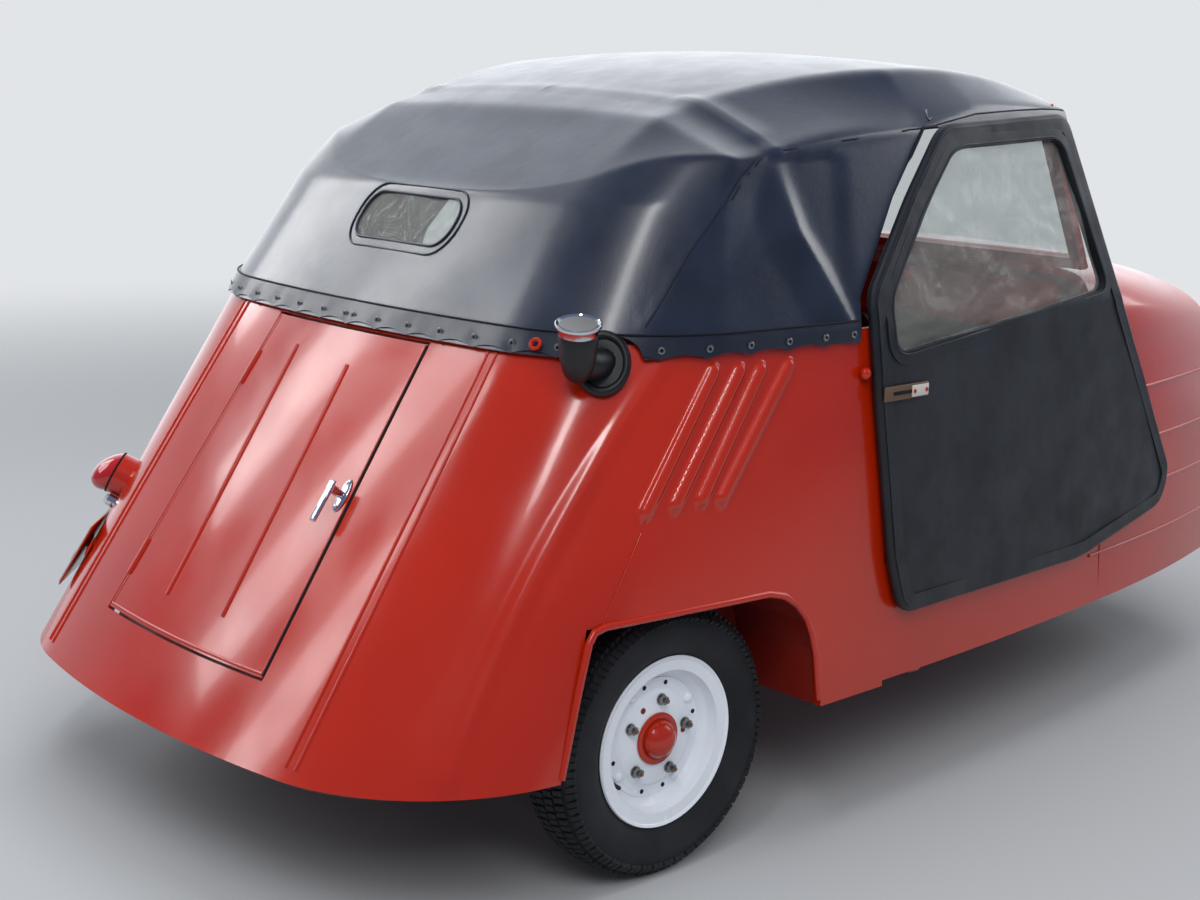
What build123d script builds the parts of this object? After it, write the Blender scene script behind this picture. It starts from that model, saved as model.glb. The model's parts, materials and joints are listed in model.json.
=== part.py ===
from build123d import *
import math
import os

# Three wheeled two seat car with a canvas hood, in millimetres.
# +X points forward, +Y left, +Z up. The origin is on the ground, midway between nose and tail.

# Overall layout
LENGTH = 2650.0
WHEELBASE = 1600.0
REAR_TRACK = 1124.0
REAR_OVERHANG = 600.0
TAIL_X = -LENGTH / 2
REAR_AXLE_X = TAIL_X + REAR_OVERHANG
FRONT_AXLE_X = REAR_AXLE_X + WHEELBASE

# Wheels
TYRE_R = 232.0
TYRE_W = 115.0
RIM_R = 144.0
RIM_W = 92.0
RIM_WALL = 5.0
BEAD_R = 122.0
WELL_R = 104.0
DISC_T = 6.0
DRUM_R = 92.0
STUB_R = 15.0
STUB_CLEARANCE = 0.05
HUB_CAP_R = 44.0
HUB_DOME_R = 35.0
REAR_DISC_Y = 12.0
STUB_END_Y = REAR_TRACK / 2 + REAR_DISC_Y + 16
AXLE_Z = TYRE_R

# Body panels
PANEL_T = 14.0
SKIRT_Z = 250.0
BELT_Z = 870.0
TUB_TOP_Z = 888.0
SILL_Z = 260.0
SILL_TOP_Z = 470.0
DOOR_FRONT_X = 465.0

# Engine lid
LID_BOTTOM_Z = 363.0
LID_TOP_Z = 857.0
LID_LIP_T = 5.0
LID_LIP_H = 14.0
SEAM_TOP_Z = 864.0
LID_HALF_TOP = 224.0
LID_HALF_BOTTOM = 252.0
LID_OPEN_GAP = 4.0
LID_BARREL_R = 6.0
LID_BARREL_L = 70.0
LID_BARREL_Z = (445.0, 765.0)

# Pressed ribs of the rear quarters, mirrored to the other side. Columns: radius, how far it stands out, path
# of x, half width and z on the skin
RIBS = (
    (9.0, 5.0, ((-664, 626, 845), (-813, 634, 639))),
    (9.0, 5.0, ((-612, 633, 842), (-756, 642, 645))),
    (9.0, 5.0, ((-568, 638, 840), (-703, 647, 646))),
    (9.0, 5.0, ((-508, 644, 841), (-660, 651, 644))),
    (5.0, 2.5, ((-906, 357, 860), (-1100, 372, 579), (-1300, 383, 296))),
    (5.0, 2.5, ((-900, 375, 860), (-1092, 391, 580), (-1288, 403, 300))),
)
# Ribs along the nose at these heights, between shares of the flank's arc
NOSE_RIB_Z = (680.0, 570.0, 470.0)
NOSE_RIB_R = 5.0
NOSE_RIB_STAND = 2.5
NOSE_RIB_SHARES = (0.12, 0.36, 0.6, 0.84)

# Doors
DOOR_T = 20.0
DOOR_WINDOW_T = 4.0

# Hood
HOOD_T = 9.0
HOOD_STAND_OFF = 1.0
HEM_Z = 868.0

# Floor, frame and bulkheads
SEAT_FIT = 0.3
FLOOR_Z = 284.0
FLOOR_T = 12.0
FLOOR_PLAN = ((-577.5, 479.5), (-421.5, 479.5), (-421.5, 645.0), (0.0, 652.0), (465.0, 620.0), (600.0, 598.0))
RAIL_R = 16.0
RAIL_Y = 300.0
RAIL_Z = FLOOR_Z - SEAT_FIT - RAIL_R
RAIL_REAR_X = -1000.0
PIVOT_X = -460.0
PIVOT_Y = 330.0
TOE_X = 600.0
TOE_T = 12.0
TOE_BEND_Z = 640.0
TOE_TOP = (500.0, 830.0)
TOE_HALF = 585.0
FIREWALL_X = -590.0
FIREWALL_T = 12.0
ARCH_INNER_Y = 490.0
ARCH_T = 10.0
ARCH_HOLE_R = 108.0

# Engine, drive and exhaust
ENGINE_X = (-1010.0, -790.0)
ENGINE_Y = (-180.0, 120.0)
ENGINE_Z = (300.0, 650.0)
BEARER_R = 14.0
DRIVE_R = 62.0
DRIVE_Y = 105.0
SHAFT_R = 12.0
ARM_R = 15.5
CARRIER_Y = 385.0
CARRIER_R = 32.0
BACKPLATE_Y = 452.0
SPRING_R = 30.0
SPRING_TOP = (-690.0, 395.0, 620.0)
SPRING_COILS = 7
SILENCER_R = 52.0
SILENCER_X = -1130.0
SILENCER_Z = 372.0
PIPE_R = 17.0

# Steering
RAKE = 20.0
TAN_RAKE = math.tan(math.radians(RAKE))
FORK_TRAIL = 60.0
FORK_HALF = 84.0
LEG_R = 20.0
SLIDER_R = 14.0
CROWN_REACH = 276.0
CROWN_T = 30.0
HEAD_R = 27.0
HEAD_BOTTOM_Z = 516.0
HEAD_TOP_Z = 640.0
STEM_R = 15.0
STEM_CLEARANCE = 0.05
STEM_TOP_Z = 690.0
BALL_R = 20.0
FRONT_AXLE_R = 9.0
FRONT_HUB_R = 58.0
BAR_CENTRE = (286.0, 150.0, 915.0)
COLUMN_R = 12.0
BAR_HALF = 225.0
BAR_KNEE = 60.0
BAR_R = 11.0
GRIP_R = 16.0
GRIP_L = 110.0

# Cabin
DASH_T = 12.0
DASH_HALF = 540.0
DASH_Z = (800.0, 902.0)
DIAL_R = 45.0
DIAL_Y = 150.0
CUSHION_X = (-360.0, 130.0)
CUSHION_Z = (440.0, 570.0)
SEAT_HALF = 540.0
BACK_T = 110.0
BACK_H = 400.0
BACK_LEAN = 14.0
BACK_ROUND = 36.0
SEAT_BASE_T = 8.0

# Lamps and fittings
HEADLAMP = (1285.0, 330.0, 620.0)
HEADLAMP_R = 80.0
HEADLAMP_L = 95.0
TAIL_LAMP = (-1068.0, 550.0, 522.0)
TAIL_LAMP_R = 40.0
GROMMET = (-823.0, -548.0, 862.0)
GROMMET_R = 38.0
FILLER_R = 32.0
FILLER_SET_BACK = 58.0
FILLER_Z = (828.0, 918.0)
FILLER_CAP_R = 38.0
FILLER_CAP_H = 22.0
PLATE_CENTRE = (-1150.0, 556.0, 394.0)
HANDLE = (-1085.0, -212.0, 620.0)

# Sections of the tub: height, tail x, corner x, corner half width, side start x, side half width,
# middle x, middle half width, half width at the front of the door opening
TUB_SECTIONS = (
    (250.0, -1360.5, -1328.0, 371.0, -1005.0, 666.0, -25.0, 680.0, 646.0),
    (870.0, -920.0, -897.0, 368.0, -637.0, 626.0, -100.0, 659.0, 612.0),
)

# Sections of the nose: height, half width at its back, quarter x, quarter half width,
# shoulder x, shoulder half width, cheek x, cheek half width, nose tip x
NOSE_BACK_X = 405.0
NOSE_SECTIONS = (
    (250.0, 650.0, 740.0, 612.0, 1020.0, 556.0, 1210.0, 400.0, 1300.0),
    (460.0, 641.0, 740.0, 608.0, 1028.0, 552.0, 1222.0, 392.0, 1322.0),
    (640.0, 633.0, 740.0, 600.0, 1028.0, 544.0, 1220.0, 384.0, 1325.0),
    (760.0, 626.0, 738.0, 588.0, 1015.0, 528.0, 1195.0, 365.0, 1300.0),
    (825.0, 620.0, 730.0, 578.0, 985.0, 502.0, 1140.0, 330.0, 1240.0),
    (870.0, 611.0, 710.0, 552.0, 920.0, 452.0, 1045.0, 275.0, 1135.0),
    (905.0, 596.0, 670.0, 505.0, 820.0, 382.0, 905.0, 210.0, 960.0),
    (930.0, 578.0, 600.0, 455.0, 700.0, 310.0, 745.0, 150.0, 770.0),
)

# Line of a door's hinges, and the heights of its two knuckles
DOOR_AXIS = ((322.0, 578.0, 1230.0), (708.0, 637.0, 470.0))
KNUCKLE_R = 7.0
KNUCKLE_L = 30.0
KNUCKLE_NOTCH = 6.0
LOW_KNUCKLE_Z = 545.0
HIGH_KNUCKLE_Z = 1176.0

# Door outline seen from the side: x, z
DOOR_OUTLINE = (
    (-245.0, 388.0), (-275.0, 480.0), (-315.0, 786.0), (-325.0, 940.0), (-190.0, 1100.0),
    (-78.0, 1214.0), (315.0, 1230.0), (435.0, 890.0), (700.0, 500.0), (672.0, 436.0), (345.0, 384.0),
)
DOOR_CORNER_R = 28.0
# Where a door's curved side is set out
DOOR_SLAB_X = (-380.0, 180.0, 740.0)
# Half widths of a door's inner face at those places: height and three half widths
DOOR_SLAB = (
    (368.0, 690.0, 672.0, 621.0),
    (888.0, 659.5, 655.0, 617.0),
    (1240.0, 576.0, 574.0, 534.0),
)

# Hood sections above its hem band: height, tail x, corner x, corner half width, side start x,
# side half width, middle x, middle half width, front half width
HEM_TOP_Z = 893.0
HOOD_SECTIONS = (
    (1094.0, -753.0, -738.0, 350.0, -600.0, 560.0, -250.0, 594.0, 566.0),
    (1345.0, -470.0, -465.0, 330.0, -440.0, 500.0, -150.0, 520.0, 500.0),
)
ROOF_LINE = ((-960.0, 1000.0), (-745.0, 1104.0), (-560.0, 1232.0), (-470.0, 1262.0))
ROOF_CREST = (-60.0, 1330.0)
ROOF_FRONT = (372.0, 1276.0)

# Windscreen
SCREEN_BASE = (440.0, 930.3)
SCREEN_TOP = (335.0, 1250.0)
SCREEN_HALF_BASE = 574.0
SCREEN_HALF_TOP = 536.0
SCREEN_BAR = 26.0
SCREEN_T = 22.0
GLASS_T = 5.0

# Rear window in the hood
HOOD_WINDOW_HALF = 127.0
HOOD_WINDOW_Z = (1003.0, 1083.0)
HOOD_WINDOW_T = 3.0
# Hood bows: foot x, shoulder x, shoulder z, crown x, crown z
BOWS = (
    (-380.0, -450.0, 1165.0, -462.0, 1228.0),
    (-330.0, -90.0, 1215.0, -60.0, 1290.0),
)
BOW_R = 9.0
BOW_FOOT = (590.0, 800.0)
BOW_HALF = (505.0, 430.0)

# Wheel opening in the side: x, z
WHEEL_OPENING = (
    (-1005.0, 200.0), (-1005.0, 250.0), (-935.0, 474.0), (-560.0, 466.0), (-496.0, 442.0),
    (-460.0, 400.0), (-444.0, 350.0), (-432.0, 200.0),
)
# Door opening in the side: x, z
BODY_OPENING = (
    (-280.0, 1000.0), (-287.0, 786.0), (-245.0, 500.0), (-205.0, 420.0), (345.0, 416.0),
    (640.0, 455.0), (660.0, 500.0), (414.0, 872.0), (414.0, 1000.0),
)
# Window in a door: x, z
DOOR_WINDOW = (
    (-272.0, 842.0), (-280.0, 930.0), (-165.0, 1072.0), (-55.0, 1178.0), (282.0, 1190.0), (388.0, 906.0),
)
DOOR_WINDOW_R = 30.0
# What the doors and the windscreen take out of the hood: x, z
HOOD_OPENING = (
    (-352.0, 800.0), (-352.0, 868.0), (-340.0, 940.0), (-228.0, 1100.0), (-120.0, 1226.0),
    (-70.0, 1244.0), (345.0, 1256.0), (500.0, 1260.0), (500.0, 800.0),
)

nodes = {}


def axis_point(z):
    """Point of the steering axis at height z."""
    return (FRONT_AXLE_X + FORK_TRAIL - TAN_RAKE * z, 0.0, z)


STEM_JOINT = axis_point(STEM_TOP_Z)


def lerp_row(table, z):
    """Values of a section table at height z, worked out along the first and last rows."""
    low, high = table[0], table[-1]
    for a, b in zip(table, table[1:]):
        if a[0] <= z <= b[0]:
            low, high = a, b
    share = (z - low[0]) / (high[0] - low[0])
    return tuple(p + (q - p) * share for p, q in zip(low, high))


def lift(edges, z):
    """One flat face at height z from plan edges."""
    return Location((0, 0, z)) * make_face(Wire(edges))


def tub_face(table, z, inset, front_x):
    """Plan outline of the tub or the hood at height z, moved in by inset."""
    _, tail, corner, corner_w, side, side_w, middle, middle_w, front_w = lerp_row(table, z)
    tail, corner = tail + inset, corner + inset
    corner_w, side_w = corner_w - 0.35 * inset, side_w - inset
    middle_w, front_w = middle_w - inset, front_w - inset
    turn = 2 * math.atan((corner - tail) / corner_w)
    right_corner = TangentArc((corner, corner_w), (side, side_w), tangent=(math.sin(turn), math.cos(turn)))
    left_corner = TangentArc((corner, -corner_w), (side, -side_w), tangent=(math.sin(turn), -math.cos(turn)))
    edges = [
        ThreePointArc((corner, -corner_w), (tail, 0), (corner, corner_w)),
        right_corner,
        ThreePointArc((side, side_w), (middle, middle_w), (front_x, front_w)),
        Line((front_x, front_w), (front_x, -front_w)),
        ThreePointArc((side, -side_w), (middle, -middle_w), (front_x, -front_w)),
        left_corner,
    ]
    return lift(edges, z)


def nose_face(row, inset, drop):
    """Plan outline of the nose at one height, moved in by inset and down by drop."""
    z, door_w, quarter, quarter_w, shoulder, shoulder_w, cheek, cheek_w, tip = row
    back = NOSE_BACK_X
    if inset:
        back -= 60.0
        door_w += 60.0 * (door_w - quarter_w) / (quarter - NOSE_BACK_X) * 0.4
    shift = inset * 0.7
    door_w, quarter_w, shoulder_w = door_w - inset, quarter_w - inset, shoulder_w - inset
    shoulder, cheek, cheek_w, tip = shoulder - shift * 0.3, cheek - shift, cheek_w - shift, tip - inset
    turn = 2 * math.atan((tip - cheek) / cheek_w)
    edges = [Line((back, -door_w), (back, door_w)),
             ThreePointArc((cheek, -cheek_w), (tip, 0), (cheek, cheek_w))]
    for side in (1, -1):
        edges.append(ThreePointArc((back, side * door_w), (quarter, side * quarter_w),
                                   (shoulder, side * shoulder_w)))
        edges.append(TangentArc((cheek, side * cheek_w), (shoulder, side * shoulder_w),
                                tangent=(-math.sin(turn), side * math.cos(turn))))
    return lift(edges, z - drop)


def side_prism(points, y_low, y_high):
    """Prism across the car from an outline of x and z points."""
    face = make_face(Polyline(*[(x, z) for x, z in points], close=True))
    solid = extrude(face, amount=y_high - y_low)
    return Location((0, y_low, 0)) * (Rot(90, 0, 0) * solid).mirror(Plane.XZ)


def rod(start, end, radius):
    """Round bar between two points."""
    a, b = Vector(start), Vector(end)
    return Plane(origin=a, z_dir=b - a) * Cylinder(radius, (b - a).length,
                                                   align=(Align.CENTER, Align.CENTER, Align.MIN))


def frustum(start, end, r_start, r_end):
    """Round tapered bar between two points."""
    a, b = Vector(*start), Vector(*end)
    return Plane(origin=a, z_dir=b - a) * Cone(r_start, r_end, (b - a).length,
                                               align=(Align.CENTER, Align.CENTER, Align.MIN))


def box(x, y, z):
    """Box from three pairs of limits."""
    return Location(((x[0] + x[1]) / 2, (y[0] + y[1]) / 2, (z[0] + z[1]) / 2)) * Box(
        x[1] - x[0], y[1] - y[0], z[1] - z[0])


def main_solid(shape):
    """The largest solid of a shape, as one plain solid."""
    return max(shape.solids(), key=lambda s: s.volume)


def half_seam(z):
    """Half width of the shut line beside the engine lid at height z."""
    share = (SEAM_TOP_Z - z) / (SEAM_TOP_Z - LID_BOTTOM_Z)
    return LID_HALF_TOP + (LID_HALF_BOTTOM - LID_HALF_TOP) * share


def tail_prism(z_low, z_high, gap):
    """The part of the tail between the seams, less a gap on each side."""
    points = [(half_seam(z_low) - gap, z_low), (half_seam(z_high) - gap, z_high),
              (-half_seam(z_high) + gap, z_high), (-half_seam(z_low) + gap, z_low)]
    face = Plane.YZ * make_face(Polyline(*points, close=True))
    return Location((TAIL_X - 100, 0, 0)) * extrude(face, amount=700)


def lid_hinge_point(z):
    """Point of the lid's hinge line at height z, on the outer skin beside the left seam."""
    _, tail, corner, corner_w = lerp_row(TUB_SECTIONS, z)[:4]
    y = half_seam(z) - LID_BARREL_R - SEAT_FIT
    return (tail + (corner - tail) * (y / corner_w) ** 2, y, z)


def door_axis_point(z):
    """Point of the left door's hinge line at height z."""
    top, low = Vector(*DOOR_AXIS[0]), Vector(*DOOR_AXIS[1])
    return top + (low - top) * ((top.Z - z) / (top.Z - low.Z))


def knuckles(z, carrier_side, reach):
    """Two hinge knuckles end to end at height z: the door's, and the carrier's with its arm to reach."""
    centre = door_axis_point(z)
    up = (door_axis_point(z + 1) - centre).normalized()
    door = rod(centre - up * KNUCKLE_L * carrier_side, centre, KNUCKLE_R)
    start = centre + up * SEAT_FIT * carrier_side
    end = start + up * KNUCKLE_L * carrier_side
    carrier = rod(start, end, KNUCKLE_R)
    middle = (start + end) / 2
    carrier += rod(middle, middle + Vector(*reach), KNUCKLE_R - 1)
    low, high = start - up * carrier_side * 3, end + up * carrier_side * KNUCKLE_NOTCH
    notch = rod(low, high, KNUCKLE_R + KNUCKLE_NOTCH)
    return door, carrier, notch


def tub_block(inset):
    """The tub as one full block, moved in by inset."""
    past = 0 if inset == 0 else 2
    front_x = DOOR_FRONT_X if inset == 0 else DOOR_FRONT_X + 30
    return loft([tub_face(TUB_SECTIONS, z, inset, front_x) for z in (SKIRT_Z - past, TUB_TOP_Z + past)],
                ruled=True)


def tub_shell():
    """Tub walls from the skirt to the belt, open at the front, with the wheel and door openings cut."""
    shell = tub_block(0) - tub_block(PANEL_T)
    side_corner = TUB_SECTIONS[0][4]
    rise = 50.0
    behind = TAIL_X - 200
    shell -= side_prism(((side_corner, SKIRT_Z), (TAIL_X, SKIRT_Z + rise), (behind, SKIRT_Z + 1.6 * rise),
                         (behind, 0), (side_corner, 0)), -900, 900)
    shell -= box((WHEEL_OPENING[-1][0] - 1, 1000), (-900, 900), (0, SILL_Z))
    shell -= side_prism(WHEEL_OPENING, -900, 900)
    shell -= side_prism(BODY_OPENING, -900, 900)
    return shell


def rib(radius, stand, path, side):
    """Round rib along a path on the tub's skin, standing out by stand."""
    points = []
    for x, half, z in path:
        row = lerp_row(TUB_SECTIONS, z)
        on_tail = half < row[3] + 40
        sink = radius - stand
        if on_tail:
            tail, corner, corner_w = row[1:4]
            flat_x = tail + (corner - tail) * min(1.0, (half / corner_w) ** 2)
            x = max(x, flat_x) if half > corner_w else flat_x
        points.append(Vector(x + (sink if on_tail else 0), side * (half - (0 if on_tail else sink)), z))
    solid = Location(points[0]) * Sphere(radius) + Location(points[-1]) * Sphere(radius)
    for start, end in zip(points, points[1:]):
        solid += rod(tuple(start), tuple(end), radius)
    return solid


def make_tub():
    """Quarters, deck rail, engine lid, valance and sills."""
    shell = tub_shell()
    sill_x = WHEEL_OPENING[-1][0] + 160
    middle = tail_prism(SKIRT_Z, TUB_TOP_Z + 10, 0)
    lid = shell & tail_prism(LID_BOTTOM_Z, LID_TOP_Z, LID_OPEN_GAP)
    lid -= tub_block(LID_LIP_T) & box((-1500, 0), (-900, 900), (LID_TOP_Z - LID_LIP_H, LID_TOP_Z + 10))
    for z in LID_BARREL_Z:
        ends = [lid_hinge_point(z + side * LID_BARREL_L / 2) for side in (-1, 1)]
        lid += rod(ends[0], ends[1], LID_BARREL_R)
    nodes["engine_lid"] = main_solid(lid)
    nodes["tail_valance"] = main_solid(shell & tail_prism(SKIRT_Z, LID_BOTTOM_Z - LID_OPEN_GAP, 0))
    nodes["deck_rail"] = main_solid(shell & tail_prism(LID_TOP_Z + LID_OPEN_GAP, TUB_TOP_Z + 5, 0))
    for side, name in ((1, "left"), (-1, "right")):
        half = shell & box((-1500, 1500), sorted((0, side * 900)), (0, 1000))
        quarter = (half - middle) & box((-1500, sill_x), (-900, 900), (0, 1000))
        for radius, stand, path in RIBS:
            quarter += rib(radius, stand, path, side)
        nodes["rear_quarter_" + name] = main_solid(quarter)
        sill = half & box((sill_x, DOOR_FRONT_X), (-900, 900), (SILL_Z, SILL_TOP_Z))
        nodes["side_sill_" + name] = main_solid(sill)


def make_nose():
    """Nose shell with its scuttle, open below for the front wheel."""
    outer = loft([nose_face(row, 0, 0) for row in NOSE_SECTIONS], ruled=True)
    inner = loft([nose_face(row, PANEL_T, PANEL_T) for row in NOSE_SECTIONS], ruled=True)
    shell = outer - inner
    shell -= side_prism(BODY_OPENING, -900, 900)
    shell -= box((0, DOOR_FRONT_X), (-900, 900), (0, SILL_TOP_Z))
    shell &= box((NOSE_BACK_X, 1400), (-900, 900), (SILL_Z, 1000))
    x, y, z = HEADLAMP
    carrier = knuckles(LOW_KNUCKLE_Z, 1, (0, -32, 0))[1]
    for side in (1, -1):
        shell -= rod((x - 2 * HEADLAMP_R, side * y, z), (x + HEADLAMP_R, side * y, z), HEADLAMP_R + SEAT_FIT)
        shell += carrier if side == 1 else carrier.mirror(Plane.XZ)
        for rib_z in NOSE_RIB_Z:
            _, door_w, quarter, quarter_w, shoulder, shoulder_w = lerp_row(NOSE_SECTIONS, rib_z)[:6]
            flank = ThreePointArc((NOSE_BACK_X, door_w), (quarter, quarter_w), (shoulder, shoulder_w))
            points = [flank @ share for share in NOSE_RIB_SHARES]
            points = [(p.X, side * (p.Y - NOSE_RIB_R + NOSE_RIB_STAND), rib_z) for p in points]
            for start, end in zip(points, points[1:]):
                shell += rod(start, end, NOSE_RIB_R)
    nodes["nose_shell"] = main_solid(shell)


def make_doors():
    """Doors with a window opening and a clear sheet in it."""
    def slab(inset_low, inset_high):
        faces = []
        for z, *widths in DOOR_SLAB:
            ends = []
            for inset in (inset_low, inset_high):
                points = [(x, w + inset) for x, w in zip(DOOR_SLAB_X, widths)]
                ends.append(ThreePointArc(*points))
            lines = [Line(ends[0] @ k, ends[1] @ k) for k in (0, 1)]
            faces.append(lift(ends + lines, z))
        return loft(faces, ruled=True)
    outline = make_face(Polyline(*DOOR_OUTLINE, close=True))
    outline = fillet(outline.vertices(), DOOR_CORNER_R)
    window = make_face(Polyline(*DOOR_WINDOW, close=True))
    window = fillet(window.vertices(), DOOR_WINDOW_R)

    def prism(face):
        return (Rot(90, 0, 0) * extrude(face, amount=900)).mirror(Plane.XZ)
    panel = (slab(0, DOOR_T) & prism(outline)) - prism(window)
    low, _, notch = knuckles(LOW_KNUCKLE_Z, 1, (0, -32, 0))
    panel = main_solid(panel - notch) + low
    high = knuckles(HIGH_KNUCKLE_Z, 1, (0, -32, 0))[0]
    middle = door_axis_point(HIGH_KNUCKLE_Z - KNUCKLE_L / 2)
    panel += high + rod(middle, middle + Vector(-34, 4, 0), KNUCKLE_R - 1)
    sheet = slab(DOOR_T / 2 - DOOR_WINDOW_T / 2, DOOR_T / 2 + DOOR_WINDOW_T / 2) & prism(window)
    for name, turn in (("left", False), ("right", True)):
        for kind, solid in (("panel", panel), ("window", sheet)):
            solid = main_solid(solid)
            nodes["door_" + kind + "_" + name] = solid.mirror(Plane.XZ) if turn else solid


def make_hood():
    """Hood as one canvas shell with the rear window cut, its window and its two bows."""
    def outer(inset, hem_z):
        hem = [tub_face(TUB_SECTIONS, z, inset, DOOR_FRONT_X) for z in (hem_z, HEM_TOP_Z)]
        upper = [tub_face(HOOD_SECTIONS, row[0], inset, DOOR_FRONT_X) for row in HOOD_SECTIONS]
        solid = loft(hem, ruled=True)
        for low, high in ((hem[1], upper[0]), (upper[0], upper[1])):
            solid += loft([low, high], ruled=True)
        return solid

    def roof_cut(drop):
        x0, z0 = ROOF_LINE[-1]
        crown = ThreePointArc((x0, z0 - drop), (ROOF_CREST[0], ROOF_CREST[1] - drop),
                              (ROOF_FRONT[0] + 40, ROOF_FRONT[1] - drop - 6))
        edges = [crown]
        points = [(x, z - drop) for x, z in ROOF_LINE]
        path = [(ROOF_FRONT[0] + 40, ROOF_FRONT[1] - drop - 6), (ROOF_FRONT[0] + 40, 1500), (-1100, 1500),
                (-1100, points[0][1])] + points
        for a, b in zip(path, path[1:]):
            edges.append(Line(a, b))
        face = make_face(Wire(edges))
        return Rot(90, 0, 0) * extrude(face, amount=900, both=True)
    inner = outer(-HOOD_STAND_OFF, HEM_Z - 2) - roof_cut(HOOD_T)
    canvas = outer(-HOOD_STAND_OFF - HOOD_T, HEM_Z) - roof_cut(0) - inner
    canvas -= side_prism(HOOD_OPENING, -900, 900)
    canvas -= box((ROOF_FRONT[0], 900), (-900, 900), (0, 1500))
    canvas -= rod((GROMMET[0] + 80, GROMMET[1], GROMMET[2]), (GROMMET[0] - 160, GROMMET[1], GROMMET[2]),
                  GROMMET_R + 6)
    pane = box((-1200, -600), (-HOOD_WINDOW_HALF, HOOD_WINDOW_HALF), HOOD_WINDOW_Z)
    nodes["hood_canvas"] = main_solid(canvas - pane)
    sheet = outer(-HOOD_STAND_OFF - (HOOD_T + HOOD_WINDOW_T) / 2, HEM_Z) - outer(
        -HOOD_STAND_OFF - (HOOD_T - HOOD_WINDOW_T) / 2, HEM_Z - 2)
    nodes["hood_window"] = main_solid(sheet & pane)
    room = inner & box((-1200, 600), (-900, 900), (BELT_Z, 1500))
    room += tub_block(PANEL_T + SEAT_FIT)
    bows = []
    for foot_x, side_x, side_z, crown_x, crown_z in BOWS:
        path = [(foot_x, BOW_FOOT[0] + 90, BOW_FOOT[1]), (foot_x, BOW_FOOT[0] - 30, BOW_FOOT[1] + 8)]
        path += [(side_x, BOW_HALF[0], side_z), (crown_x, BOW_HALF[1], crown_z)]
        path += [(x, -y, z) for x, y, z in reversed(path)]
        bow = rod(path[0], path[1], BOW_R)
        for start, end in zip(path[1:], path[2:]):
            bow += Location(start) * Sphere(BOW_R + 1.5) + rod(start, end, BOW_R)
        bows.append(main_solid(bow & room))
    nodes["hood_bows"] = Compound(bows)


def make_windscreen():
    """Windscreen frame and its flat glass."""
    (base_x, base_z), (top_x, top_z) = SCREEN_BASE, SCREEN_TOP
    rise = math.dist(SCREEN_BASE, SCREEN_TOP)
    face = Plane(origin=(base_x, 0, base_z), x_dir=(0, 1, 0), z_dir=(top_z - base_z, 0, base_x - top_x))

    def sheet(inset, thick):
        low, high = SCREEN_HALF_BASE - inset, SCREEN_HALF_TOP - inset
        outline = make_face(Polyline((-low, inset), (low, inset), (high, rise - inset), (-high, rise - inset),
                                     close=True))
        return face * extrude(outline, amount=thick / 2, both=True)
    frame = sheet(0, SCREEN_T) - sheet(SCREEN_BAR, SCREEN_T * 2)
    frame -= box((0, 900), (-900, 900), (0, base_z))
    carrier = knuckles(HIGH_KNUCKLE_Z, 1, (6, -46, 0))[1]
    frame = frame + carrier + carrier.mirror(Plane.XZ)
    nodes["windscreen_frame"] = main_solid(frame)
    nodes["windscreen_glass"] = main_solid(sheet(SCREEN_BAR, GLASS_T))


def make_floor():
    """Floor, toe board, firewall and wheel arches."""
    outline = [(x, y) for x, y in FLOOR_PLAN] + [(x, -y) for x, y in reversed(FLOOR_PLAN)]
    floor = extrude(make_face(Polyline(*outline, close=True)), amount=FLOOR_T)
    nodes["floor_pan"] = main_solid(Location((0, 0, FLOOR_Z)) * floor)
    toe = ((TOE_X, FLOOR_Z), (TOE_X + TOE_T, FLOOR_Z), (TOE_X + TOE_T, TOE_BEND_Z),
           (TOE_TOP[0] + TOE_T, TOE_TOP[1]), TOE_TOP, (TOE_X, TOE_BEND_Z))
    board = side_prism(toe, -TOE_HALF, TOE_HALF) - rod(STEM_JOINT, BAR_CENTRE, COLUMN_R + 16)
    nodes["toe_board"] = main_solid(board)
    inside = tub_block(PANEL_T + SEAT_FIT)
    wall = inside & box((FIREWALL_X, FIREWALL_X + FIREWALL_T), (-900, 900), (FLOOR_Z, BELT_Z - 5))
    grown = offset(make_face(Polyline(*WHEEL_OPENING, close=True)), amount=ARCH_T, kind=Kind.INTERSECTION)

    def arch_prism(face, y_low):
        return Location((0, y_low, 0)) * (Rot(90, 0, 0) * extrude(face, amount=400)).mirror(Plane.XZ)
    hull = arch_prism(grown, ARCH_INNER_Y - ARCH_T)
    hollow = arch_prism(make_face(Polyline(*WHEEL_OPENING, close=True)), ARCH_INNER_Y)
    arch = (hull - hollow) & inside & box((-1500, 0), (0, 900), (SKIRT_Z, BELT_Z))
    arch -= rod((REAR_AXLE_X, 0, AXLE_Z), (REAR_AXLE_X, 900, AXLE_Z), ARCH_HOLE_R)
    arch -= box((REAR_AXLE_X - ARCH_HOLE_R, REAR_AXLE_X + ARCH_HOLE_R), (0, 900), (0, AXLE_Z))
    arch = main_solid(arch)
    for name, solid in (("left", arch), ("right", arch.mirror(Plane.XZ))):
        nodes["wheel_arch_" + name] = solid
    reach = arch_prism(grown, ARCH_INNER_Y - ARCH_T - SEAT_FIT)
    wall = wall - reach - reach.mirror(Plane.XZ)
    nodes["firewall"] = main_solid(wall)


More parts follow.
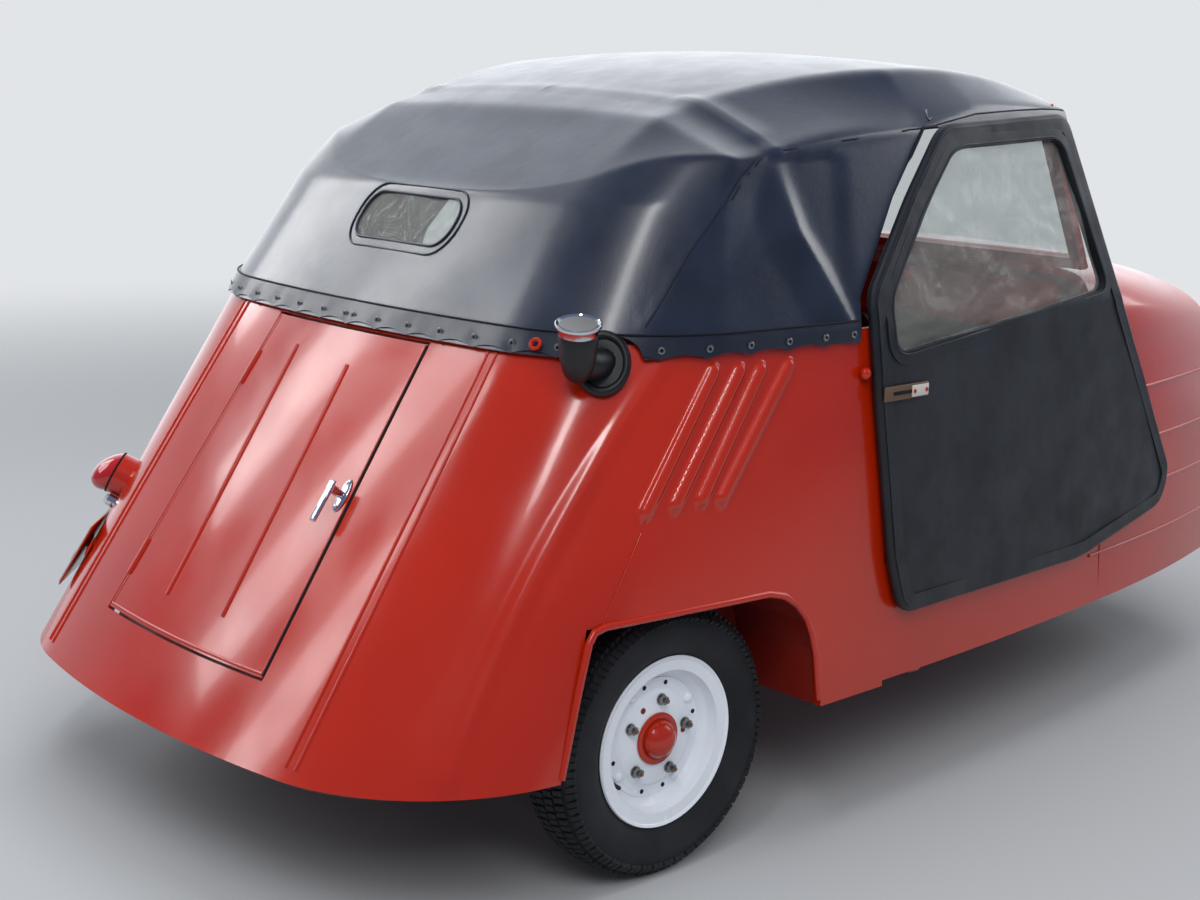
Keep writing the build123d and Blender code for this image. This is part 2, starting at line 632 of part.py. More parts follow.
def make_frame():
    """Tube frame under the body."""
    frame = None
    for side in (1, -1):
        rail = rod((RAIL_REAR_X, side * RAIL_Y, RAIL_Z), (TOE_X - 2, side * RAIL_Y, RAIL_Z), RAIL_R)
        frame = rail if frame is None else frame + rail
        post_x, spring_y, post_z = SPRING_TOP
        frame += rod((post_x, side * RAIL_Y, RAIL_Z), (post_x, side * RAIL_Y, post_z), RAIL_R)
        reach_y = side * (spring_y - SPRING_R - SEAT_FIT)
        frame += rod((post_x, side * RAIL_Y, post_z), (post_x, reach_y, post_z), RAIL_R)
    cross_r = RAIL_R - 1
    frame += rod((PIVOT_X, -PIVOT_Y, RAIL_Z), (PIVOT_X, PIVOT_Y, RAIL_Z), cross_r)
    frame += rod((SPRING_TOP[0], -RAIL_Y, SPRING_TOP[2]), (SPRING_TOP[0], RAIL_Y, SPRING_TOP[2]), cross_r)
    for x in (TOE_X - 40, REAR_AXLE_X + DRIVE_R + SEAT_FIT + cross_r):
        frame += rod((x, -RAIL_Y, RAIL_Z), (x, RAIL_Y, RAIL_Z), cross_r)
    bearer_z = ENGINE_Z[0] - SEAT_FIT - BEARER_R
    for x in (ENGINE_X[0] + 50, ENGINE_X[1] - 50):
        frame += rod((x, -RAIL_Y, bearer_z), (x, RAIL_Y, bearer_z), BEARER_R)
    nodes["chassis_frame"] = main_solid(frame)


def make_drive():
    """Engine block, final drive with its shafts, and exhaust."""
    nodes["engine_block"] = box(ENGINE_X, ENGINE_Y, ENGINE_Z)
    drive = rod((REAR_AXLE_X, -DRIVE_Y, AXLE_Z), (REAR_AXLE_X, DRIVE_Y, AXLE_Z), DRIVE_R)
    shaft_y = CARRIER_Y - SEAT_FIT
    drive += rod((REAR_AXLE_X, -shaft_y, AXLE_Z), (REAR_AXLE_X, shaft_y, AXLE_Z), SHAFT_R)
    nodes["final_drive"] = main_solid(drive)
    pipe_y = (ENGINE_Y[0] + ENGINE_Y[1]) / 2
    exhaust = rod((SILENCER_X, pipe_y - 200, SILENCER_Z), (SILENCER_X, pipe_y + 200, SILENCER_Z), SILENCER_R)
    exhaust += rod((ENGINE_X[0] - SEAT_FIT, pipe_y, SILENCER_Z), (SILENCER_X, pipe_y, SILENCER_Z), PIPE_R)
    exhaust += rod((SILENCER_X, pipe_y - 120, SILENCER_Z), (SILENCER_X - 110, pipe_y - 120, 225), PIPE_R)
    nodes["exhaust"] = main_solid(exhaust)
    arm_y = (PIVOT_Y + SEAT_FIT, PIVOT_Y + 60)
    foot = (REAR_AXLE_X + 90, CARRIER_Y - 5, AXLE_Z + 14)
    arm = rod((PIVOT_X, arm_y[0], RAIL_Z), (PIVOT_X, arm_y[1], RAIL_Z), ARM_R)
    arm += rod((PIVOT_X, (arm_y[0] + arm_y[1]) / 2, RAIL_Z), (REAR_AXLE_X, CARRIER_Y + 35, AXLE_Z), ARM_R)
    arm += rod((REAR_AXLE_X, CARRIER_Y, AXLE_Z), (REAR_AXLE_X, BACKPLATE_Y, AXLE_Z), CARRIER_R)
    arm += rod((REAR_AXLE_X, BACKPLATE_Y, AXLE_Z), (REAR_AXLE_X, BACKPLATE_Y + 6, AXLE_Z), DRUM_R)
    arm += rod((REAR_AXLE_X, BACKPLATE_Y, AXLE_Z), (REAR_AXLE_X, STUB_END_Y, AXLE_Z), STUB_R)
    arm += rod(foot, SPRING_TOP, 11)
    base, top = Vector(*foot), Vector(*SPRING_TOP)
    way = top - base
    for k in range(SPRING_COILS):
        low = base + way * (0.16 + 0.72 * k / SPRING_COILS)
        high = base + way * (0.16 + 0.72 * (k + 0.55) / SPRING_COILS)
        arm += rod(tuple(low), tuple(high), SPRING_R)
    for share in (0.14, 0.86):
        arm += rod(tuple(base + way * share), tuple(base + way * (share + 0.04)), SPRING_R + 4)
    arm += rod(tuple(base + way * 0.14), tuple(base + way * 0.9), SPRING_R - 7)
    arm += Location(tuple(top)) * Rot(90, 0, 0) * Cylinder(18, 2 * SPRING_R)
    arm = main_solid(arm)
    nodes["rear_suspension_left"] = arm
    nodes["rear_suspension_right"] = arm.mirror(Plane.XZ)


def ring(profile):
    """Turned piece about the Y axis from points of half width and radius."""
    face = make_face(Polyline(*profile, close=True))
    turned = revolve(face, axis=Axis.X, revolution_arc=360)
    return Rot(0, 0, 90) * turned


def tyre_solid():
    """Tyre with rounded shoulders, hollow at the rim."""
    half = TYRE_W / 2
    rim_half = RIM_W / 2
    gap = SEAT_FIT
    section = make_face(Wire([
        Line((-rim_half + 6, BEAD_R + gap), (rim_half - 6, BEAD_R + gap)),
        Line((rim_half - 6, BEAD_R + gap), (rim_half - 6, RIM_R + 1)),
        ThreePointArc((rim_half - 6, RIM_R + 1), (half, (RIM_R + TYRE_R) / 2), (half - 9, TYRE_R - 14)),
        ThreePointArc((half - 9, TYRE_R - 14), (half - 14, TYRE_R - 6), (half - 24, TYRE_R - 3)),
        ThreePointArc((half - 24, TYRE_R - 3), (0, TYRE_R), (-half + 24, TYRE_R - 3)),
        ThreePointArc((-half + 24, TYRE_R - 3), (-half + 14, TYRE_R - 6), (-half + 9, TYRE_R - 14)),
        ThreePointArc((-half + 9, TYRE_R - 14), (-half, (RIM_R + TYRE_R) / 2), (-rim_half + 6, RIM_R + 1)),
        Line((-rim_half + 6, RIM_R + 1), (-rim_half + 6, BEAD_R + gap)),
    ]))
    return Rot(0, 0, 90) * revolve(section, axis=Axis.X, revolution_arc=360)


def rim_solid(disc_y, bore_r):
    """Rim with flanges, a drop centre and a disc at disc_y from the middle."""
    half, wall = RIM_W / 2, RIM_WALL
    profile = (
        (-half, RIM_R), (-half + wall, RIM_R), (-half + wall, BEAD_R), (-half + 26, BEAD_R),
        (-half + 32, WELL_R), (half - 32, WELL_R), (half - 26, BEAD_R), (half - wall, BEAD_R),
        (half - wall, RIM_R), (half, RIM_R), (half, BEAD_R - wall), (half - 24, BEAD_R - wall),
        (half - 30, WELL_R - wall), (-half + 30, WELL_R - wall), (-half + 24, BEAD_R - wall),
        (-half, BEAD_R - wall))
    barrel = ring(profile)
    disc = rod((0, disc_y - DISC_T / 2, 0), (0, disc_y + DISC_T / 2, 0), WELL_R - 2)
    return barrel + disc - rod((0, -200, 0), (0, 200, 0), bore_r)


def make_wheels():
    """Two rear wheels and the front wheel."""
    tyre = main_solid(tyre_solid())
    rear_y = REAR_TRACK / 2
    rear_rim = main_solid(rim_solid(REAR_DISC_Y, STUB_R + STUB_CLEARANCE))
    drum_in = BACKPLATE_Y + 6 + SEAT_FIT - rear_y
    drum = rod((0, drum_in, 0), (0, REAR_DISC_Y - DISC_T / 2, 0), DRUM_R) - rod(
        (0, -200, 0), (0, 200, 0), STUB_R + STUB_CLEARANCE)
    cap_y = REAR_DISC_Y + DISC_T / 2
    cap = rod((0, cap_y, 0), (0, cap_y + 5, 0), HUB_CAP_R)
    dome = Location((0, cap_y, 0)) * Sphere(HUB_DOME_R)
    cap += dome & box((-100, 100), (cap_y, cap_y + 100), (-100, 100))
    cap = main_solid(cap - rod((0, -200, 0), (0, STUB_END_Y - rear_y + SEAT_FIT, 0), STUB_R + STUB_CLEARANCE))
    place = Location((REAR_AXLE_X, rear_y, AXLE_Z))
    for kind, solid in (("tyre", tyre), ("rim", main_solid(rear_rim + drum)), ("hub_cap", cap)):
        left = place * solid
        nodes["rear_" + kind + "_left"] = left
        nodes["rear_" + kind + "_right"] = left.mirror(Plane.XZ)
    front = Location((FRONT_AXLE_X, 0, AXLE_Z))
    rim = rim_solid(0, FRONT_AXLE_R + STUB_CLEARANCE)
    hub = rod((0, -45, 0), (0, 45, 0), FRONT_HUB_R)
    hub -= rod((0, -200, 0), (0, 200, 0), FRONT_AXLE_R + STUB_CLEARANCE)
    nodes["front_tyre"] = front * tyre
    nodes["front_rim"] = main_solid(front * (rim + hub))


def make_steering():
    """Steering head, fork and handlebar."""
    lean = Vector(-math.sin(math.radians(RAKE)), 0, math.cos(math.radians(RAKE)))
    axle = Vector(FRONT_AXLE_X, 0, AXLE_Z)
    crown = axle + lean * CROWN_REACH
    bottom, top = axis_point(HEAD_BOTTOM_Z), axis_point(HEAD_TOP_Z)
    head = rod(bottom, top, HEAD_R)
    head += box((TOE_X + TOE_T + SEAT_FIT, top[0]), (-18, 18), (TOE_BEND_Z - 90, TOE_BEND_Z - 8))
    head += box((TOE_X + TOE_T + SEAT_FIT, TOE_X + TOE_T + 8), (-70, 70), (TOE_BEND_Z - 100, TOE_BEND_Z))
    head -= rod(axis_point(HEAD_BOTTOM_Z - 50), axis_point(HEAD_TOP_Z + 50), STEM_R + STEM_CLEARANCE)
    nodes["steering_head"] = main_solid(head)
    fork = Plane(origin=crown, x_dir=(0, 1, 0), z_dir=lean) * Box(2 * (FORK_HALF + LEG_R), 76, CROWN_T)
    fork += rod(axis_point(HEAD_BOTTOM_Z - 20), axis_point(STEM_TOP_Z), STEM_R)
    fork += Location(STEM_JOINT) * Sphere(BALL_R)
    for side in (1, -1):
        shift = Vector(0, side * FORK_HALF, 0)
        fork += rod(tuple(axle + shift + lean * 70), tuple(crown + shift), LEG_R)
        fork += rod(tuple(axle + shift - lean * 16), tuple(axle + shift + lean * 80), SLIDER_R)
        for k in range(5):
            low = axle + shift + lean * (92 + 28 * k)
            fork += rod(tuple(low), tuple(low + lean * 14), LEG_R + 2.5)
    fork += rod((FRONT_AXLE_X, -FORK_HALF - 20, AXLE_Z), (FRONT_AXLE_X, FORK_HALF + 20, AXLE_Z), FRONT_AXLE_R)
    nodes["front_fork"] = main_solid(fork)
    joint, centre = Vector(*STEM_JOINT), Vector(*BAR_CENTRE)
    way = (centre - joint).normalized()
    bar = rod(tuple(joint + way * (BALL_R + SEAT_FIT)), tuple(centre), COLUMN_R)
    across = way.cross(Vector(0, 0, 1)).normalized() * -1
    back = across.cross(way).normalized()
    if back.X > 0:
        back = back * -1
    bar += rod(tuple(centre - across * 24), tuple(centre + across * 24), BAR_R + 8)
    reach = BAR_KNEE + 3
    bar += rod(tuple(centre - across * reach), tuple(centre + across * reach), BAR_R)
    for side in (1, -1):
        knee = centre + across * (side * BAR_KNEE)
        sweep = (across * side + back * 0.35).normalized()
        tip = knee + sweep * (BAR_HALF - BAR_KNEE)
        bar += rod(tuple(knee - sweep * 5), tuple(tip), BAR_R - 1)
        bar += rod(tuple(tip - sweep * GRIP_L), tuple(tip + sweep * 3), GRIP_R)
    nodes["handlebar"] = main_solid(bar)


def make_cabin():
    """Dash, dial and bench seat."""
    dash = box((NOSE_BACK_X - SEAT_FIT - DASH_T, NOSE_BACK_X - SEAT_FIT), (-DASH_HALF, DASH_HALF), DASH_Z)
    dash -= rod(STEM_JOINT, BAR_CENTRE, COLUMN_R + 1)
    face_x = NOSE_BACK_X - SEAT_FIT - DASH_T
    dial_z = (DASH_Z[0] + DASH_Z[1]) / 2
    dash += rod((face_x - 24, -DIAL_Y, dial_z), (face_x + DASH_T / 2, -DIAL_Y, dial_z), DIAL_R)
    nodes["dash_panel"] = main_solid(dash)
    cushion = box(CUSHION_X, (-SEAT_HALF, SEAT_HALF), CUSHION_Z)
    nodes["seat_cushion"] = fillet(cushion.edges().filter_by(Axis.Y), 38)
    half, wall, top = SEAT_HALF - 25, SEAT_BASE_T, CUSHION_Z[0] - SEAT_FIT
    rear, front = CUSHION_X[0] + 15, CUSHION_X[1] - 40
    base = box((rear, front), (-half, half), (FLOOR_Z + FLOOR_T, top))
    base -= box((rear + wall, front - wall), (-half + wall, half - wall), (FLOOR_Z, top - wall))
    back = box((-BACK_T, 0), (-SEAT_HALF, SEAT_HALF), (0, BACK_H))
    back = fillet(back.edges().filter_by(Axis.Y), BACK_ROUND)
    lean = Rot(0, -BACK_LEAN, 0)
    place = Location((CUSHION_X[0] - SEAT_FIT, 0, top + SEAT_FIT - (lean * back).bounding_box().min.Z)) * lean
    nodes["seat_back"] = main_solid(place * back)
    board_x = -BACK_T - SEAT_FIT
    low_half = ARCH_INNER_Y - ARCH_T - wall
    board = place * box((board_x - wall, board_x), (-low_half, low_half), (0, BACK_H - BACK_ROUND))
    shelf_x = (place * Location((-BACK_T - wall, 0, 0))).position.X
    base += board + box((shelf_x - 4, rear + wall), (-low_half, low_half), (top - wall, top))
    nodes["seat_base"] = main_solid(base)


def make_fittings():
    """Lamps, filler, plate holder and lid handle, each seated on the skin that carries it."""
    skin = tub_block(0)
    x, y, z = HEADLAMP
    for name, side in (("left", 1), ("right", -1)):
        nodes["headlamp_" + name] = rod((x - HEADLAMP_L, side * y, z), (x, side * y, z), HEADLAMP_R)
    x, y, z = TAIL_LAMP
    lamp = rod((x, y, z), (x + 90, y, z), TAIL_LAMP_R) + frustum((x - 22, y, z), (x, y, z), 22, TAIL_LAMP_R)
    nodes["tail_lamp"] = main_solid(lamp - skin)
    x, y, z = GROMMET
    neck_x = x - FILLER_SET_BACK
    neck = rod((x + 60, y, z), (x - 14, y, z), GROMMET_R) + rod((x + 60, y, z), (neck_x, y, z), FILLER_R - 4)
    neck += rod((neck_x, y, FILLER_Z[0]), (neck_x, y, FILLER_Z[1]), FILLER_R)
    neck += rod((neck_x, y, FILLER_Z[1]), (neck_x, y, FILLER_Z[1] + FILLER_CAP_H), FILLER_CAP_R)
    nodes["fuel_filler"] = main_solid(neck - skin)
    tangent = Vector(0.675, 0.738, 0)
    down = Vector(-0.52, 0.17, -0.84).normalized()
    normal = tangent.cross(down).normalized()
    if normal.X > 0:
        normal = normal * -1
    centre = Vector(*PLATE_CENTRE)
    plate = Plane(origin=centre, x_dir=tangent, z_dir=normal) * Box(180, 128, 4)
    plate += rod(tuple(centre), tuple(centre - normal * 120), 12)
    nodes["plate_holder"] = main_solid(plate - skin)
    x, y, z = HANDLE
    slope = (TUB_SECTIONS[1][1] - TUB_SECTIONS[0][1]) / (TUB_SECTIONS[1][0] - TUB_SECTIONS[0][0])
    up = Vector(slope, 0, 1).normalized()
    out = Vector(-up.Z, 0, up.X)
    foot = Vector(x, y, z)
    knob = foot + out * 34
    handle = rod(tuple(foot - out * 30), tuple(foot + out * 6), 17) + rod(tuple(foot), tuple(knob), 8)
    handle += rod(tuple(knob + up * 14), tuple(knob - up * 52), 7)
    nodes["lid_handle"] = main_solid(handle - skin)


for make in (make_tub, make_nose, make_doors, make_hood, make_windscreen, make_floor, make_frame, make_drive,
             make_wheels, make_steering, make_cabin, make_fittings):
    make()

os.makedirs("parts", exist_ok=True)
for node, shape in nodes.items():
    export_step(shape, "parts/" + node + ".step")
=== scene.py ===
"""Looks of a small three wheeled car with a canvas hood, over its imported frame.

The sheet metal and the canvas follow the frame's own surfaces, which run straight between
plan outlines, so their grids are placed by those outlines. The rest is modelled with
Blender's operators. Tables are in millimetres in the row frame, meshes in metres.
"""
from __future__ import annotations

import json
import logging
import math
from collections.abc import Callable, Sequence
from dataclasses import dataclass, field
from enum import Enum

import bpy
import numpy as np
from mathutils import Matrix, Vector
from mathutils.bvhtree import BVHTree

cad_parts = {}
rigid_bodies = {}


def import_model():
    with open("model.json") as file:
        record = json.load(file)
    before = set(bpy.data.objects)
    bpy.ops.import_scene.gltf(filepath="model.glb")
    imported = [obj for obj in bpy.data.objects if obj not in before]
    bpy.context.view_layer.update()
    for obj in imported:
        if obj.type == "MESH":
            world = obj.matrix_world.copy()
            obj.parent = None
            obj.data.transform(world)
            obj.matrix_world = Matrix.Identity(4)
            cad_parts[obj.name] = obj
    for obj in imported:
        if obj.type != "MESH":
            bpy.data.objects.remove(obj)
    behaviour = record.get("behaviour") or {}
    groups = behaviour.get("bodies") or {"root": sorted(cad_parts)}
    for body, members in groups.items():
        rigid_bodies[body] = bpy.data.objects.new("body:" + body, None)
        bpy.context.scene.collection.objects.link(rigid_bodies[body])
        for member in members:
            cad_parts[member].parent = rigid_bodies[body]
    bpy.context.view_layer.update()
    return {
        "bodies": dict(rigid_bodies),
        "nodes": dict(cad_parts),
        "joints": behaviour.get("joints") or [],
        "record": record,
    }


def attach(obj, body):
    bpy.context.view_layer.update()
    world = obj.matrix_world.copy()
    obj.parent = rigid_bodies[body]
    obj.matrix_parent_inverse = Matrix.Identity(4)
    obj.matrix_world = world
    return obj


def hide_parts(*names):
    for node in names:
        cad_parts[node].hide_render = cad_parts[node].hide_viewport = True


LOG = logging.getLogger("scene")
MM = 0.001

Item = bpy.types.Object
Array = np.ndarray
Points = Sequence[Sequence[float]]
Place = Callable[[Array, Array], Array]

# Columns: z, tip x, corner x, corner half width, side start x, its half width, middle x, its half width,
# half width at the end of the side.
TUB_ROWS = ((250, -1360.5, -1328, 371, -1005, 666, -25, 680, 646),
            (870, -920, -897, 368, -637, 626, -100, 659, 612))
HOOD_ROWS = ((1094, -753, -738, 350, -600, 560, -250, 594, 566),
             (1345, -470, -465, 330, -440, 500, -150, 520, 500))
# Columns: z, half width at the back, quarter x and half width, shoulder x and half width, cheek x and half
# width, tip x.
NOSE_ROWS = ((250, 650, 740, 612, 1020, 556, 1210, 400, 1300), (460, 641, 740, 608, 1028, 552, 1222, 392, 1322),
             (640, 633, 740, 600, 1028, 544, 1220, 384, 1325), (760, 626, 738, 588, 1015, 528, 1195, 365, 1300),
             (825, 620, 730, 578, 985, 502, 1140, 330, 1240), (870, 611, 710, 552, 920, 452, 1045, 275, 1135),
             (905, 596, 670, 505, 820, 382, 905, 210, 960), (930, 578, 600, 455, 700, 310, 745, 150, 770))
# Columns: z, half widths of the door's inner face at DOOR_X.
DOOR_ROWS = ((368, 690, 672, 621), (888, 659.5, 655, 617), (1240, 576, 574, 534))
DOOR_X = (-380, 180, 740)
SKIRT_Z, TUB_TOP, NOSE_BACK, FRONT_X = 250, 888, 405, 465
# Thickness of a body panel, and points on each arc of a plan outline.
PANEL, ARC = 14, 200
QUARTER_END = -272
LID_Z, LID_GAP = (363, 857), 4
SEAM_HALF = ((250, 261), (363, 252), (864, 224))
WHEEL_OPENING = ((-1005, 200), (-1005, 250), (-935, 474), (-560, 466), (-496, 442), (-460, 400), (-444, 350),
                 (-432, 200))
BODY_OPENING = ((-280, 1000), (-287, 786), (-245, 500), (-205, 420), (345, 416), (640, 455), (660, 500),
                (414, 872), (414, 1000))
DOOR_OUTLINE = ((-245, 388), (-275, 480), (-315, 786), (-325, 940), (-190, 1100), (-78, 1214), (315, 1230),
                (435, 890), (700, 500), (672, 436), (345, 384))
DOOR_WINDOW = ((-272, 842), (-280, 930), (-165, 1072), (-55, 1178), (282, 1190), (388, 906))
ROOF_LINE = ((-960, 1000), (-745, 1104), (-560, 1232), (-470, 1262))
ROOF_CREST, ROOF_FRONT = (-60, 1330), (412, 1270)
# Columns: x, half width of the roof's flat, its drop there, half width of the seam on the side, its drop.
ROOF_SIDE = ((-472, 375, 8, 560, 80), (-100, 480, 14, 571, 115), (60, 485, 14, 568, 88), (372, 470, 12, 550, 40))
HOOD_FRONT = 372
# Opening of the canvas round the door: x, z.
HOOD_EDGE = ((-352, 700), (-352, 868), (-338, 940), (-214, 1100), (-100, 1212), (-60, 1214), (345, 1222),
             (600, 1226), (600, 700))
# Half width of the rear window, its bottom and its top.
REAR_WINDOW = (136, 1003, 1083)
# Middle of the filler's rubber ring, of the headlamp's rim and of each wheel.
GROMMET = (-823, -548, 862)
HEADLAMP = (1285, 330, 620)
AXLES = {"rear_left": (-725, 562, 232), "rear_right": (-725, -562, 232), "front": (875, 0, 232)}


def srgb(red: int, green: int, blue: int) -> tuple[float, float, float]:
    """Linear colour of an sRGB triple from 0 to 255."""
    return tuple(((c / 255 + 0.055) / 1.055) ** 2.4 if c > 10 else c / 255 / 12.92 for c in (red, green, blue))


def smooth(share: Array | float) -> Array:
    """Smooth step of a value, held from 0 to 1."""
    held = np.clip(share, 0, 1)
    return held * held * (3 - 2 * held)


# Materials

CLEAR_TINT = (0.86, 0.88, 0.88, 1)


class Sock:
    """Shader socket with arithmetic."""

    def __init__(self, graph: "Graph", socket: bpy.types.NodeSocket) -> None:
        self.graph, self.socket = graph, socket

    def _math(self, kind: str, other: "Sock | float") -> "Sock":
        return self.graph.node("ShaderNodeMath", {0: self, 1: other}, operation=kind)

    def __add__(self, other: "Sock | float") -> "Sock":
        return self._math("ADD", other)

    def __mul__(self, other: "Sock | float") -> "Sock":
        return self._math("MULTIPLY", other)

    def ramp(self, low: float, high: float, start: float, end: float) -> "Sock":
        """Value carried from the range low to high onto the range start to end, smoothly and held there."""
        inputs = {0: self, 1: low, 2: high, 3: start, 4: end}
        return self.graph.node("ShaderNodeMapRange", inputs, interpolation_type="SMOOTHSTEP")


class Graph:
    """Node tree of a material or of the world."""

    def __init__(self, owner: bpy.types.Material | bpy.types.World) -> None:
        owner.use_nodes = True
        self.tree = owner.node_tree
        self.tree.nodes.clear()

    def node(self, kind: str, inputs: dict | None = None, output: int | str = 0, **settings: object) -> Sock:
        """Makes a node, sets or links its inputs and returns one of its outputs."""
        made = self.tree.nodes.new(kind)
        for key, value in settings.items():
            setattr(made, key, value)
        for key, value in (inputs or {}).items():
            if isinstance(value, Sock):
                self.tree.links.new(value.socket, made.inputs[key])
            else:
                made.inputs[key].default_value = value
        return Sock(self, made.outputs[output]) if made.outputs else None

    def where(self) -> Sock:
        """Object coordinates, in metres."""
        return self.node("ShaderNodeTexCoord", output="Object")

    def noise(self, scale: float, detail: float, upright: float = 1) -> Sock:
        """Noise over the object, finer by a factor along Z."""
        vector = self.node("ShaderNodeMapping", {"Vector": self.where(), "Scale": (1, 1, upright)})
        return self.node("ShaderNodeTexNoise", {"Vector": vector, "Scale": scale, "Detail": detail})

    def blend(self, share: Sock, first: tuple[float, ...], second: tuple[float, ...]) -> Sock:
        """Mix of two colours."""
        return self.node("ShaderNodeMix", {0: share, 6: first, 7: second}, output=2, data_type="RGBA")


@dataclass(frozen=True)
class Grain:
    """Noises of a pattern.

    Args:
        bumps: Scale, detail, weight and stretch of each noise that lifts the surface.
        strength: Strength of the bump.
        depth: Depth of the bump, in metres.
        shade: Scale and detail of the colour's noise, and the factors at its ends.
        rough: The same for the roughness.
        share: Share of the surface that isn't looked through.
    """

    bumps: tuple[tuple[float, float, float, float], ...] = ()
    strength: float = 0.0
    depth: float = 0.0
    shade: tuple[float, float, float, float] | None = None
    rough: tuple[float, float, float, float] | None = None
    share: float = 1.0


class Pattern(Enum):
    """How a finish varies over its surface."""

    PLAIN = Grain()
    PAINT = Grain(((34, 1, 1, 1),), 0.06, 0.002, (2.6, 3, 0.93, 1.07), (7, 4, 0.8, 1.35))
    CLOTH = Grain(((420, 4, 1, 1), (60, 2, 0.8, 1)), 0.35, 0.0012, (9, 6, 0.72, 1.35), (14, 4, 0.85, 1.2))
    LEATHER = Grain(((300, 5, 1, 1),), 0.3, 0.0009, (5, 4, 0.8, 1.25))
    RUBBER = Grain(((500, 3, 1, 1),), 0.25, 0.0006, (12, 5, 0.75, 1.6))
    CAST = Grain(((260, 4, 1, 1),), 0.5, 0.0012, (18, 5, 0.7, 1.35))
    CLEAR = Grain(((6, 2, 1, 1.6), (19, 2, 0.4, 1)), 0.55, 0.05, share=0.14)
    GLASS = Grain(share=0.1)


@dataclass(frozen=True)
class Finish:
    """Look of one surface.

    Args:
        name: Name of the material.
        colour: Linear base colour.
        rough: Roughness.
        metal: Metallic share.
        coat: Weight of the clear coat.
        pattern: How it varies.
        coat_rough: Roughness of the clear coat.
    """

    name: str
    colour: tuple[float, float, float]
    rough: float = 0.5
    metal: float = 0.0
    coat: float = 0.0
    pattern: Pattern = Pattern.PLAIN
    coat_rough: float = 0.06

    def material(self) -> bpy.types.Material:
        """The material of this finish, made on its first use."""
        known = bpy.data.materials.get(self.name)
        if known is not None:
            return known
        material = bpy.data.materials.new(self.name)
        graph, grain = Graph(material), self.pattern.value
        colour, rough = (*self.colour, 1.0), self.rough
        if grain.rough:
            scale, detail, low, high = grain.rough
            rough = graph.noise(scale, detail).ramp(0.3, 0.7, self.rough * low, self.rough * high)
        if grain.shade:
            colour = self.shade(graph, *grain.shade)
        inputs = {"Base Color": colour, "Roughness": rough, "Metallic": self.metal, "Coat Weight": self.coat,
                  "Coat Roughness": self.coat_rough}
        if grain.bumps:
            heights = [graph.noise(scale, detail, stretch) * weight for scale, detail, weight, stretch in grain.bumps]
            height = heights[0] if len(heights) == 1 else heights[0] + heights[1]
            inputs["Normal"] = graph.node("ShaderNodeBump", {"Height": height, "Strength": grain.strength,
                                                             "Distance": grain.depth})
        surface = graph.node("ShaderNodeBsdfPrincipled", inputs)
        if grain.share < 1:
            clear = graph.node("ShaderNodeBsdfTransparent", {"Color": CLEAR_TINT})
            surface = graph.node("ShaderNodeMixShader", {0: grain.share, 1: clear, 2: surface})
        graph.node("ShaderNodeOutputMaterial", {"Surface": surface})
        return material

    def shade(self, graph: Graph, scale: float, detail: float, low: float, high: float) -> Sock:
        """The base colour, from low to high times its value as a noise goes from 0.3 to 0.7."""
        dark, pale = (tuple(min(c * k, 1.0) for c in self.colour) + (1.0,) for k in (low, high))
        return graph.blend(graph.noise(scale, detail).ramp(0.3, 0.7, 0, 1), dark, pale)


RED = Finish("body_red", srgb(172, 34, 5), 0.17, coat=0.3, pattern=Pattern.PAINT)
DARK_RED = Finish("inner_red", srgb(120, 26, 16), 0.45, pattern=Pattern.PAINT)
CANVAS = Finish("hood_canvas_cloth", srgb(23, 28, 42), 0.33, coat=0.9, coat_rough=0.2, pattern=Pattern.CLOTH)
CANVAS_EDGE = Finish("hood_binding", srgb(20, 24, 35), 0.4, coat=0.5, coat_rough=0.2, pattern=Pattern.CLOTH)
THREAD = Finish("hood_thread", srgb(15, 18, 28), 0.6)
DOOR_CLOTH = Finish("door_vinyl", srgb(25, 27, 32), 0.55, pattern=Pattern.CLOTH)
DOOR_EDGE = Finish("door_binding", srgb(22, 24, 28), 0.45, pattern=Pattern.CLOTH)
CLEAR = Finish("clear_vinyl", srgb(205, 205, 200), 0.18, pattern=Pattern.CLEAR)
GLASS = Finish("screen_glass_look", srgb(190, 200, 200), 0.03, pattern=Pattern.GLASS)
RUBBER = Finish("tyre_rubber_look", srgb(24, 24, 26), 0.72, pattern=Pattern.RUBBER)
BOOT = Finish("filler_boot", srgb(16, 16, 17), 0.42, pattern=Pattern.RUBBER)
RIM_WHITE = Finish("rim_white", srgb(226, 231, 238), 0.3, coat=0.2, pattern=Pattern.PAINT)
CHROME = Finish("chrome_look", srgb(215, 216, 218), 0.09, metal=1.0)
STEEL = Finish("steel_look", srgb(150, 148, 144), 0.35, metal=1.0)
LENS = Finish("lens_red", srgb(170, 16, 12), 0.12, coat=0.8)
LAMP_GLASS = Finish("lamp_glass", srgb(225, 228, 230), 0.08, metal=0.55, coat=0.8)
VINYL = Finish("seat_maroon", srgb(112, 34, 30), 0.45, pattern=Pattern.LEATHER)
ENGINE = Finish("engine_cast", srgb(120, 118, 114), 0.5, metal=0.7, pattern=Pattern.CAST)
IRON = Finish("drive_dark_iron", srgb(48, 46, 45), 0.55, metal=0.4, pattern=Pattern.CAST)
SOOT = Finish("exhaust_dark", srgb(78, 66, 58), 0.55, metal=0.6, pattern=Pattern.CAST)
# Black of the tail lamp's rubber gasket. On the lid's gap, the rim's holes, the eyelets and the hasp's slot it is
# painted shade.
BLACK_AND_SHADE = Finish("black_rubber_and_painted_shade", srgb(10, 10, 10), 0.8)
HASP = Finish("hasp_brown", srgb(104, 78, 58), 0.5, pattern=Pattern.LEATHER)
PALE = Finish("pale_plate", srgb(196, 190, 182), 0.45)


# Modelling


def moved(point: Points) -> Matrix:
    """Shift by a vector in millimetres."""
    return Matrix.Translation(Vector(point) * MM)


